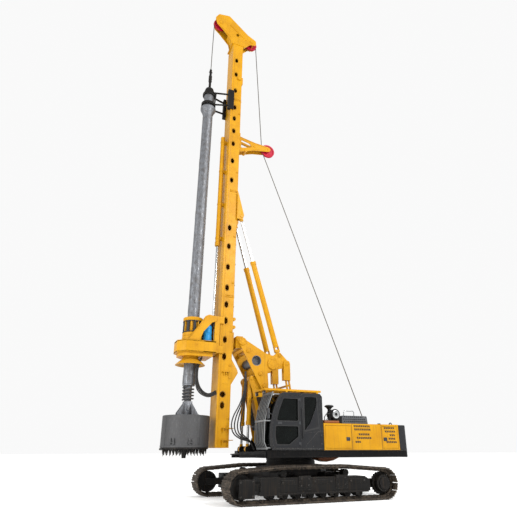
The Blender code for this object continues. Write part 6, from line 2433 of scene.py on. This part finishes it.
@dataclass
class DrillHead(Assembly):
    """The rotary drive on its carriage, with motors, drive sleeve and hoses."""

    x: float = 3.614
    low: float = 4.248
    top: float = 4.744
    motor: tuple[float, float] = (3.15, 0.235)

    def motors(self) -> None:
        """Jackets the two drive motors in their own blue, with flanges and bolts."""
        bm = bmesh.new()
        x, y = self.motor
        body = [
            (0, 5.402), (0.085, 5.402), (0.102, 5.39), (0.102, 5.30), (0.125, 5.29), (0.138, 5.281),
            (0.142, 5.20), (0.137, 5.195), (0.137, 5.12), (0.142, 5.11)
        ]
        body += [
            (0.142, 5.02), (0.137, 5.01), (0.137, 4.95), (0.142, 4.94), (0.142, 4.83), (0.150, 4.82),
            (0.150, 4.785), (0.165, 4.78), (0.165, self.top + 0.001), (0, self.top + 0.001)
        ]
        turned(bm, body, (x, y, 0), Axis.Z, 48)
        bolt_circle(bm, (x, y), 0.152, 12, 4.78, (0, 0, 1), 0.010)
        bolt_circle(bm, (x, y), 0.118, 8, 5.27, (0, 0, 1), 0.009)
        block(bm, about(x, 0.05), (y + 0.10, y + 0.155), (5.05, 5.17), 0.008)
        mirrored_y(bm)
        self.piece("drive_motors", bm, AZURE, "rotary_carriage", smooth=30)

    def case(self) -> None:
        """Bolts the lids on the gear case and adds its lips and drain."""
        bm = bmesh.new()
        outline = [
            (self.x + p, q) for p,
            q in (
                (0.53, -0.22), (0.53, 0.22), (0.30, 0.50), (-0.30, 0.52), (-0.70, 0.52), (-0.70, -0.52),
                (-0.30, -0.52), (0.30, -0.50)
            )
        ]
        hole = [(self.x + 0.90 * (p - self.x) - 0.01, 0.90 * q) for p, q in outline]
        plate(bm, outline, self.top - 0.035, self.top + 0.010, [hole], Axis.Z)
        plate(bm, outline, self.low + 0.115, self.low + 0.150, [hole], Axis.Z)
        inner = [(self.x + 0.95 * (p - self.x) - 0.005, 0.95 * q) for p, q in outline]
        spots = []
        for (px, py), (qx, qy) in zip(inner, inner[1:] + inner[:1]):
            count = max(1, int(math.hypot(qx - px, qy - py) / 0.14))
            spots += [
                (px + (qx - px) * n / count, py + (qy - py) * n / count, self.top + 0.010)
                for n in range(count)
            ]
        bolts(bm, spots, (0, 0, 1), 0.013)
        turned(
            bm,
            [
                (0.27, self.top + 0.01), (0.345, self.top + 0.01), (0.345, self.top + 0.05),
                (0.335, 4.90), (0.325, 4.926), (0.27, 4.926)
            ],
            (self.x, 0, 0), Axis.Z, 64
        )
        for sign in (1, -1):
            bolts(bm, [(self.x - 0.05, sign * 0.51, 4.60)], (0, sign, 0), 0.022)
            for z in (4.52, 5.02, 5.52):
                bolts(bm, [(2.89, sign * 0.42, z)], (0, sign, 0), 0.018)
        for sign in (1, -1):
            line = [(3.80, self.top + 0.10), (3.40, 5.40), (3.28, 5.58)]
            for a, b in zip(line, line[1:]):
                beam(bm, (a[0], sign * 0.42, a[1]), (b[0], sign * 0.42, b[1]), 0.075, 0.016, 0.004)
        self.piece("drill_head_trim", bm, YELLOW, "rotary_carriage", smooth=32)

    def sleeve(self) -> None:
        """Turns the drive sleeve with its shock springs in black cups and the oil catcher below."""
        bm = bmesh.new()
        bore = 0.2145
        profile = [
            (bore, 5.57), (0.318, 5.57), (0.329, 5.56), (0.329, 5.475), (0.318, 5.455), (0.275, 5.44),
            (0.268, 5.42), (0.268, 5.08), (0.275, 5.065), (0.318, 5.05), (0.329, 5.04)
        ]
        profile += [
            (0.329, 4.945), (0.32, 4.932), (0.254, 4.93), (0.254, 4.22), (0.279, 4.20), (0.285, 4.185),
            (0.300, 4.165), (0.385, 4.10), (0.480, 4.012), (0.489, 3.995), (0.478, 3.991), (0.36, 4.06),
            (bore, 4.06)
        ]
        turned(bm, profile, (self.x, 0, 0), Axis.Z, 80)
        for x, y in arc_points((self.x, 0), 0.300, 8, math.pi / 8):
            block(bm, about(x, 0.020), about(y, 0.020), (5.04, 5.46), 0.005)
        bolt_circle(bm, (self.x, 0), 0.285, 16, 5.57, (0, 0, 1), 0.013)
        self.piece("drive_sleeve_turned", bm, YELLOW, "drive_sleeve", ["drive_sleeve"], smooth=30)
        bm = bmesh.new()
        for x, y in arc_points((self.x, 0), 0.278, 8):
            turned(
                bm, [(0, 5.45), (0.046, 5.45), (0.052, 5.43), (0.052, 5.07), (0.046, 5.055), (0, 5.055)],
                (x, y, 0), Axis.Z, 24
            )
        for z in (5.075, 5.435):
            turned(
                bm, [(0.27, z - 0.012), (0.333, z - 0.012), (0.333, z + 0.012), (0.27, z + 0.012)],
                (self.x, 0, 0), Axis.Z, 72
            )
        self.piece("shock_springs", bm, SEAL, "drive_sleeve", smooth=30)

    def hoses(self) -> None:
        """Lays the motors' short hoses and their fittings on the carriage."""
        for n in range(5):
            y = 0.32 - n * 0.07
            line = smooth_line(
                [(3.10, y, 5.42), (3.02, y + 0.02, 5.58), (2.98, y + 0.05, 5.46), (3.0, y + 0.08, 5.25)]
            )
            self.hose(f"motor_hose_{n}", line, 0.014, RUBBER, "rotary_carriage")
        bm = bmesh.new()
        for sign in (1, -1):
            for x, z in ((3.05, 5.50), (3.00, 5.56), (3.10, 5.45)):
                rod(bm, (x, sign * 0.30, z - 0.02), (x, sign * 0.30, z + 0.03), 0.022, 6)
        self.piece("hose_fittings", bm, BLACK, "rotary_carriage")

    def build(self) -> None:
        """Builds the drive."""
        self.dressed("rotary_carriage", YELLOW, 0.006)
        self.motors()
        self.case()
        self.sleeve()
        self.hoses()
        bm = bmesh.new()
        turned(
            bm, [(0, 10.95), (0.040, 10.95), (0.045, 10.94), (0.045, 5.70), (0, 5.70)], (2.905, 0, 0),
            Axis.Z, 40
        )
        turned(
            bm, [(0.046, 5.70), (0.07, 5.70), (0.075, 5.69), (0.075, 5.66), (0.046, 5.66)],
            (2.905, 0, 0), Axis.Z, 40
        )
        self.piece("crowd_rod_turned", bm, CHROME, "rotary_carriage", ["crowd_rod"], smooth=30)


@dataclass
class KellyBar(Assembly):
    """The telescopic drill stem, its follower and swivel, and the core bucket."""

    x: float = 3.614
    radius: float = 0.2065
    low: float = 3.385
    top: float = 15.24
    bucket_radius: float = 0.74
    bucket: tuple[float, float] = (1.496, 2.416)

    def outer(self) -> None:
        """Turns the outer tube and welds its drive ribs on, with their stepped stops."""
        bm = bmesh.new()
        r = self.radius - 0.008
        tube = [
            (0.18, self.top - 0.001), (r, self.top - 0.001), (r, 14.62), (0.300, 14.60), (0.310, 14.585),
            (0.310, 14.50), (0.255, 14.40), (0.215, 14.28), (r, 14.24)
        ]
        for z in (11.9, 9.55, 7.3, 5.9):
            tube += [(r, z + 0.16), (r + 0.005, z + 0.155), (r + 0.005, z - 0.155), (r, z - 0.16)]
        tube += [
            (r, self.low + 0.30), (r + 0.007, self.low + 0.29), (r + 0.007, self.low + 0.01),
            (r, self.low), (0.18, self.low)
        ]
        turned(bm, tube, (self.x, 0, 0), Axis.Z, 96)
        for n in range(3):
            angle = math.radians(60 + 120 * n)
            for shift in (-0.16, 0.16):
                spot = angle + shift
                cx, cy = math.cos(spot), math.sin(spot)
                verts = block(
                    bm, (r - 0.010, self.radius + 0.0005), (-0.011, 0.011), (3.75, 14.2), 0.002
                )
                swung(bm, verts, self.x, math.atan2(cy, cx))
            for z in (4.05, 6.55, 8.8, 11.1, 13.2):
                for step in range(3):
                    verts = block(
                        bm, (r - 0.010, self.radius + 0.0005), (-0.032, 0.032),
                        (z + step * 0.22, z + step * 0.22 + 0.09), 0.003
                    )
                    swung(bm, verts, self.x, angle)
        self.piece("kelly_outer_ribbed", bm, KELLY, "kelly_outer", ["kelly_outer"], smooth=30)

    def inner(self) -> None:
        """Turns the inner bar, its spring pack and plates, and the square bucket coupling."""
        bm = bmesh.new()
        turned(
            bm,
            [
                (0.05, 15.05), (0.176, 15.05), (0.176, 14.86), (0.13, 14.80), (0.13, 3.40),
                (0.115, 3.38), (0.115, 2.86), (0, 2.86), (0, 3.30), (0.05, 3.32)
            ],
            (self.x, 0, 0), Axis.Z, 64
        )
        turned(
            bm,
            [
                (0.10, 3.384), (0.196, 3.384), (0.200, 3.376), (0.200, 3.345), (0.194, 3.338),
                (0.10, 3.338)
            ],
            (self.x, 0, 0), Axis.Z, 64
        )
        block(bm, about(self.x, 0.13), (-0.13, 0.13), (2.43, 2.86), 0.012)
        web = [(-0.13, 2.80), (0.13, 2.80), (0.33, 2.50), (0.33, 2.44), (-0.33, 2.44), (-0.33, 2.50)]
        for quarter in (0, 1):
            for y in (-0.10, 0.10):
                verts = plate(bm, web, y - 0.012, y + 0.012)
                swung(bm, verts, self.x, quarter * math.pi / 2)
        block(bm, about(self.x, 0.34), (-0.34, 0.34), (2.4165, 2.446), 0.006)
        for x in (-0.29, 0.29):
            bolts(bm, [(self.x + x, y, 2.446) for y in (-0.29, 0.0, 0.29)], (0, 0, 1), 0.024)
        rod(bm, (self.x - 0.16, 0, 2.68), (self.x + 0.16, 0, 2.68), 0.036, 24)
        rod(bm, (self.x, -0.16, 2.62), (self.x, 0.16, 2.62), 0.036, 24)
        self.piece("kelly_inner_turned", bm, KELLY, "kelly_inner", ["kelly_inner"], smooth=30)
        line = []
        turns, low, high = 4.2, 2.90, 3.31
        for n in range(int(turns * 28) + 1):
            share = n / (turns * 28)
            angle = share * turns * math.tau
            line.append(
                (self.x + 0.167 * math.cos(angle), 0.167 * math.sin(angle), low + (high - low) * share)
            )
        self.hose("kelly_spring", line, 0.027, SPRING, "kelly_inner")

    def shell(self) -> None:
        """Turns the bucket, rolls its rim and welds its wear strips and side cutters on."""
        bm = bmesh.new()
        low, high = self.bucket
        r = self.bucket_radius - 0.006
        wall = [
            (0.0, high), (r - 0.012, high), (r, high - 0.012), (r, low + 0.06), (r + 0.006, low + 0.055),
            (r + 0.006, low + 0.002), (r - 0.024, low), (r - 0.024, high - 0.04), (0.0, high - 0.04)
        ]
        turned(bm, wall, (self.x, 0, 0), Axis.Z, 128)
        for n in range(4):
            angle = math.radians(20 + 90 * n)
            verts = block(bm, about(r, 0.005), (-0.045, 0.045), (low + 0.06, high - 0.05), 0.003)
            swung(bm, verts, self.x, angle)
        for angle in (48, 90.5, 228, 270.5):
            angle = math.radians(angle)
            for y in (-0.055, 0.055):
                ear = softened(
                    [
                        (r - 0.01, low + 0.07), (r + 0.035, low + 0.08, 0.02),
                        (r + 0.045, low + 0.20, 0.03), (r + 0.012, low + 0.26, 0.02),
                        (r - 0.01, low + 0.26)
                    ]
                )
                swung(bm, plate(bm, ear, y - 0.014, y + 0.014), self.x, angle)
            pin = rod(bm, (r + 0.015, -0.085, low + 0.14), (r + 0.015, 0.085, low + 0.14), 0.020, 20)
            swung(bm, pin, self.x, angle)
            foot = block(bm, (r - 0.006, r + 0.008), (-0.10, 0.10), (low + 0.062, low + 0.075), 0.002)
            swung(bm, foot, self.x, angle)
        for n in range(8):
            angle = math.tau * n / 8
            turned(
                bm, [(0.018, 0.004), (0.026, 0.004), (0.026, -0.002), (0.018, -0.002)],
                (self.x + 0.55 * math.cos(angle), 0.55 * math.sin(angle), high), Axis.Z, 20
            )
        self.piece("bucket_shell_rolled", bm, TOOL, "kelly_inner", ["bucket_shell"], smooth=30)

    def door(self) -> None:
        """Sets two rows of cutting teeth and a fringe of picks on the bucket's door."""
        self.dressed("bucket_door", PICKS, 0.004)
        bm = bmesh.new()
        top = 1.45
        for n in range(64):
            angle = math.tau * (n + 0.5) / 64
            radius = 0.665 if n % 2 else 0.60
            x, y = self.x + radius * math.cos(angle), radius * math.sin(angle)
            if x > 4.22:
                continue
            reach = 0.085 + 0.03 * (n % 3)
            tip = (x + 0.03 * math.sin(angle), y - 0.03 * math.cos(angle), top - reach)
            rod(bm, (x, y, top + 0.01), tip, 0.026, 8, 0.006)
        for row in (-1, 1):
            for n in range(6):
                x, y = self.x + row * (0.14 + n * 0.10), row * 0.10
                rod(bm, (x, y - row * 0.03, top), (x, y - row * 0.075, top - 0.20), 0.028, 10, 0.006)
        self.piece("bucket_teeth", bm, PICKS, "bucket_door", smooth=40)

    def follower(self) -> None:
        """Dresses the follower frame and turns the bearing rings and the swivel on it."""
        self.dressed("follower_frame", CHASSIS, 0.005)
        bm = bmesh.new()
        turned(
            bm,
            [
                (0, 15.705), (0.07, 15.70), (0.165, 15.63), (0.198, 15.52), (0.204, 15.50),
                (0.204, 15.36), (0.262, 15.35), (0.266, 15.335), (0.266, 15.262), (0.26, 15.247),
                (0, 15.247)
            ],
            (self.x, 0, 0), Axis.Z, 64
        )
        bolt_circle(bm, (self.x, 0), 0.232, 12, 15.35, (0, 0, 1), 0.013)
        turned(
            bm,
            [
                (0, 16.742), (0.035, 16.74), (0.052, 16.72), (0.052, 16.42), (0.068, 16.39),
                (0.068, 16.06), (0.052, 16.03), (0.052, 15.66), (0, 15.66)
            ],
            (self.x, 0, 0), Axis.Z, 40
        )
        for z in (16.10, 16.22, 16.34):
            turned(
                bm, [(0.06, z - 0.01), (0.074, z - 0.006), (0.074, z + 0.006), (0.06, z + 0.01)],
                (self.x, 0, 0), Axis.Z, 40
            )
        rod(bm, (self.x - 0.075, 0, 16.60), (self.x + 0.075, 0, 16.60), 0.022, 20)
        rod(bm, (self.x, -0.075, 15.90), (self.x, 0.075, 15.90), 0.022, 20)
        self.piece("swivel_turned", bm, CHASSIS, "kelly_follower", smooth=30)

    def build(self) -> None:
        """Builds the drilling line below its rope."""
        self.outer()
        self.inner()
        self.shell()
        self.door()
        self.follower()


@dataclass
class Rigging(Assembly):
    """The winch rope, taut from drum to guide pulley, over the head and down to the swivel."""

    radius: float = 0.017
    kelly_x: float = 3.614
    sheave: tuple[float, float] = (3.334, 19.55)
    rear: tuple[float, float] = (1.83, 18.98)
    guide: tuple[float, float] = (0.915, 13.245)
    winch: tuple[float, float] = (-3.04, 1.90)
    groove: float = 0.268

    def stretch(
        self, name: str, points: Sequence[Sequence[float]], blend: tuple | None, body: str | None = None
    ) -> None:
        """Lays one stretch of rope, on a body or bending between two.

        Args:
            name: The stretch's name.
            points: The points it passes.
            blend: Two bodies with the points between which it turns from one to the other.
            body: The body it rides on, if it bends between none.
        """
        line = []
        for a, b in zip(points, points[1:]):
            run = Vector(b) - Vector(a)
            count = max(1, int(run.length / 0.6)) if blend else 1
            line += [tuple(Vector(a) + run * n / count) for n in range(count)]
        line.append(tuple(points[-1]))
        made = self.hose(name, line, self.radius, ROPE, body)
        if blend:
            first, second, start, end = blend
            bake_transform(made, first, second, start=framed(start), end=framed(end))

    def build(self) -> None:
        """Lays every stretch end to end."""
        top = self.sheave[1]
        x = self.kelly_x
        over = [
            (self.sheave[0] + self.groove * math.cos(a), 0, top + self.groove * math.sin(a))
            for a in [math.pi * n / 24 for n in range(0, 17)]
        ]
        over[0] = (x - 0.012, 0, top)
        head = over + [(2.75, 0, 19.49)]
        back = [
            (self.rear[0] + self.groove * math.cos(a), 0, self.rear[1] + self.groove * math.sin(a))
            for a in [math.radians(d) for d in range(118, 188, 8)]
        ]
        around = [
            (self.guide[0] + self.groove * math.cos(a), 0, self.guide[1] + self.groove * math.sin(a))
            for a in [math.radians(d) for d in range(4, -36, -6)]
        ]
        self.stretch("rope_over_head", head + [(1.90, 0, 19.26)] + back + around[:1], None, "mast")
        self.stretch("rope_round_guide", around, None, "mast")
        self.stretch(
            "rope_to_carriage", [(x - 0.012, 0, top), (x, 0, 17.6)],
            ("mast", "rotary_carriage", (x, 0, 19.5), (x, 0, 17.6))
        )
        self.stretch(
            "rope_to_swivel", [(x, 0, 17.6), (x, 0, 16.70)],
            ("rotary_carriage", "kelly_follower", (x, 0, 17.6), (x, 0, 16.72))
        )
        start = Vector(around[-1])
        end = Vector((self.winch[0] - 0.10, 0, self.winch[1] + 0.215))
        marks = [start + (end - start) * share for share in (0.0, 0.30, 0.55, 0.78, 1.0)]
        pairs = (
            ("cross_head", "mast"), ("delta_frame", "cross_head"), ("boom", "delta_frame"),
            ("upper_body", "boom")
        )
        for n, ((near, far), a, b) in enumerate(zip(pairs, marks, marks[1:])):
            self.stretch(f"rope_to_winch_{n}", [tuple(a), tuple(b)], (far, near, tuple(a), tuple(b)))


@dataclass
class HoseLoops(Assembly):
    """The hanging hose loops between upper body and mast, and between mast and drill head."""

    def loop(
        self, name: str, first: str, second: str, points: Sequence[Sequence[float]], radius: float
    ) -> None:
        """Hangs one hose that bends between two bodies.

        Args:
            name: The hose's name.
            first: The body at its start.
            second: The body at its end.
            points: The points it passes.
            radius: Its radius.
        """
        made = self.hose(name, smooth_line(points), radius, RUBBER)
        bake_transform(made, first, second, start=framed(points[0]), end=framed(points[-1]))

    def build(self) -> None:
        """Hangs the bundles."""
        for n in range(3):
            y, out = 0.22 + 0.045 * n, n / 2
            points = [
                (2.765, y, 3.20 - 0.10 * out), (2.97, y, 3.10 - 0.09 * out),
                (3.13, y, 3.13 - 0.11 * out), (3.26 + 0.05 * out, y, 3.24 - 0.13 * out)
            ]
            points += [
                (3.35 + 0.08 * out, y, 3.40 - 0.12 * out), (3.40 + 0.09 * out, y, 3.62),
                (3.38 + 0.08 * out, y - 0.02, 3.95), (3.24, y - 0.02, 4.38)
            ]
            self.loop(f"drill_hose_{n}", "mast", "rotary_carriage", points, 0.024)
        for n in range(4):
            y, out = 0.445 + 0.03 * n, n / 3
            points = [
                (1.80 + 0.06 * out, y - 0.03, 3.84), (1.80 + 0.08 * out, y, 3.44),
                (1.81 + 0.11 * out, y, 3.12), (1.85 + 0.20 * out, y, 2.76), (1.92 + 0.31 * out, y, 2.42)
            ]
            points += [
                (1.96 + 0.33 * out, y, 2.13), (1.91 + 0.29 * out, y, 1.92 - 0.03 * out),
                (1.77 + 0.19 * out, y, 1.80 - 0.06 * out), (1.60 + 0.08 * out, y, 1.66), (1.50, y, 1.44)
            ]
            self.loop(f"boom_hose_{n}", "boom", "upper_body", points, 0.021)


@dataclass
class Studio:
    """Floor, soft lights and the camera."""

    azimuth: float = 24.0915
    pitch: float = 22.854
    roll: float = 0.184
    place: Place = (7.2028 + OFFSET_X, 15.1755, 1.3789)
    wide: int = 517
    tall: int = 520
    focal: float = 459.76  # in the same unit as the view's width and height
    centre: Point = (278.33, 257.66)  # where the lens looks, from the view's upper left corner
    sensor: float = 36.0
    reach: float = 1000.0

    def floor(self) -> None:
        """Lays a wide floor."""
        bm = bmesh.new()
        bmesh.ops.create_circle(bm, cap_ends=True, segments=96, radius=400)
        bmesh.ops.translate(bm, vec=(0, 0, -0.002), verts=bm.verts)
        mesh = bpy.data.meshes.new("studio_floor")
        bm.to_mesh(mesh)
        bm.free()
        linked("studio_floor", mesh, FLOOR)

    def lights(self) -> None:
        """Hangs a large key light, a fill and a bright sky."""
        for name, place, size, power, target in (
            ("key", (-9, 24, 20), 8, 6300, (0, 0, 6)),
            ("fill", (22, 8, 10), 12, 2600, (2, 0, 6)),
            ("back", (-16, -14, 22), 12, 1600, (0, 0, 6)),
        ):
            data = bpy.data.lights.new(name, "AREA")
            data.energy, data.size = power, size
            lamp = bpy.data.objects.new(name, data)
            lamp.location = place
            lamp.rotation_euler = (Vector(target) - Vector(place)).to_track_quat("-Z", "Y").to_euler()
            bpy.context.scene.collection.objects.link(lamp)
        world = bpy.data.worlds.new("studio_sky")
        world.use_nodes = True
        sky = world.node_tree.nodes["Background"]
        sky.inputs["Color"].default_value = (1, 1, 1, 1)
        sky.inputs["Strength"].default_value = 0.95
        bpy.context.scene.view_settings.view_transform = "Standard"
        bpy.context.scene.world = world

    def camera(self) -> None:
        """Sets the camera on the machine's left front, low and looking up the mast."""
        azimuth, pitch, roll = (math.radians(v) for v in (self.azimuth, self.pitch, self.roll))
        ahead = Vector((-math.sin(azimuth), -math.cos(azimuth), 0))
        right = Vector((-math.cos(azimuth), math.sin(azimuth), 0))
        look = ahead * math.cos(pitch) + Vector((0, 0, 1)) * math.sin(pitch)
        up = right.cross(look)
        turn = Matrix.Rotation(roll, 3, look)
        right, up = turn @ right, turn @ up
        data = bpy.data.cameras.new("camera")
        data.sensor_width, data.sensor_fit = self.sensor, "HORIZONTAL"
        data.lens = self.focal / self.wide * self.sensor
        data.shift_x = -(self.centre[0] - self.wide / 2) / self.wide
        data.shift_y = (self.centre[1] - self.tall / 2) / self.wide
        data.clip_end = self.reach
        made = bpy.data.objects.new("camera", data)
        stand = Matrix((right, up, -look)).transposed().to_4x4()
        stand.translation = self.place
        made.matrix_world = stand
        bpy.context.scene.collection.objects.link(made)
        bpy.context.scene.camera = made

    def build(self) -> None:
        """Sets the stage."""
        self.floor()
        self.lights()
        self.camera()


def cylinders() -> list[Cylinder]:
    """Lists the four cylinders of the linkage, each with its own sizes.

    Returns:
        The cylinders.
    """
    found = []
    for side in Side:
        sign = side.value
        foot, head = (1.60, sign * 0.29, 3.65), (1.655, sign * 0.29, 1.45)
        found.append(Cylinder(side=side, foot=foot, head=head, barrel_ends=(0.08, 1.481)))
        found.append(
            Cylinder(
                side=side,
                role=Role.STAY,
                foot=(0.622, sign * 0.42, 4.459),
                head=(2.13, sign * 0.32, 9.64),
                barrel_radius=0.0955,
                rod_radius=0.055,
                barrel_ends=(0.31, 3.551),
                rod_ends=(1.62, 0.22),
                rod_eye_half=0.0445,
            )
        )
    return found


def main() -> None:
    """Builds every sub-assembly in order and reports its pieces."""
    logging.basicConfig(level=logging.INFO, format="%(message)s")
    Studio().build()
    assemblies = [
        Undercarriage(), Housing(), Winch(), Cab(), Linkage(), *cylinders(), Mast(), DrillHead(),
        KellyBar(), Rigging(), HoseLoops()
    ]
    for assembly in assemblies:
        assembly.build()
        for name in assembly.made:
            LOG.info("%s: %s", type(assembly).__name__, name)
    bpy.context.view_layer.update()


if __name__ == "__main__":
    main()
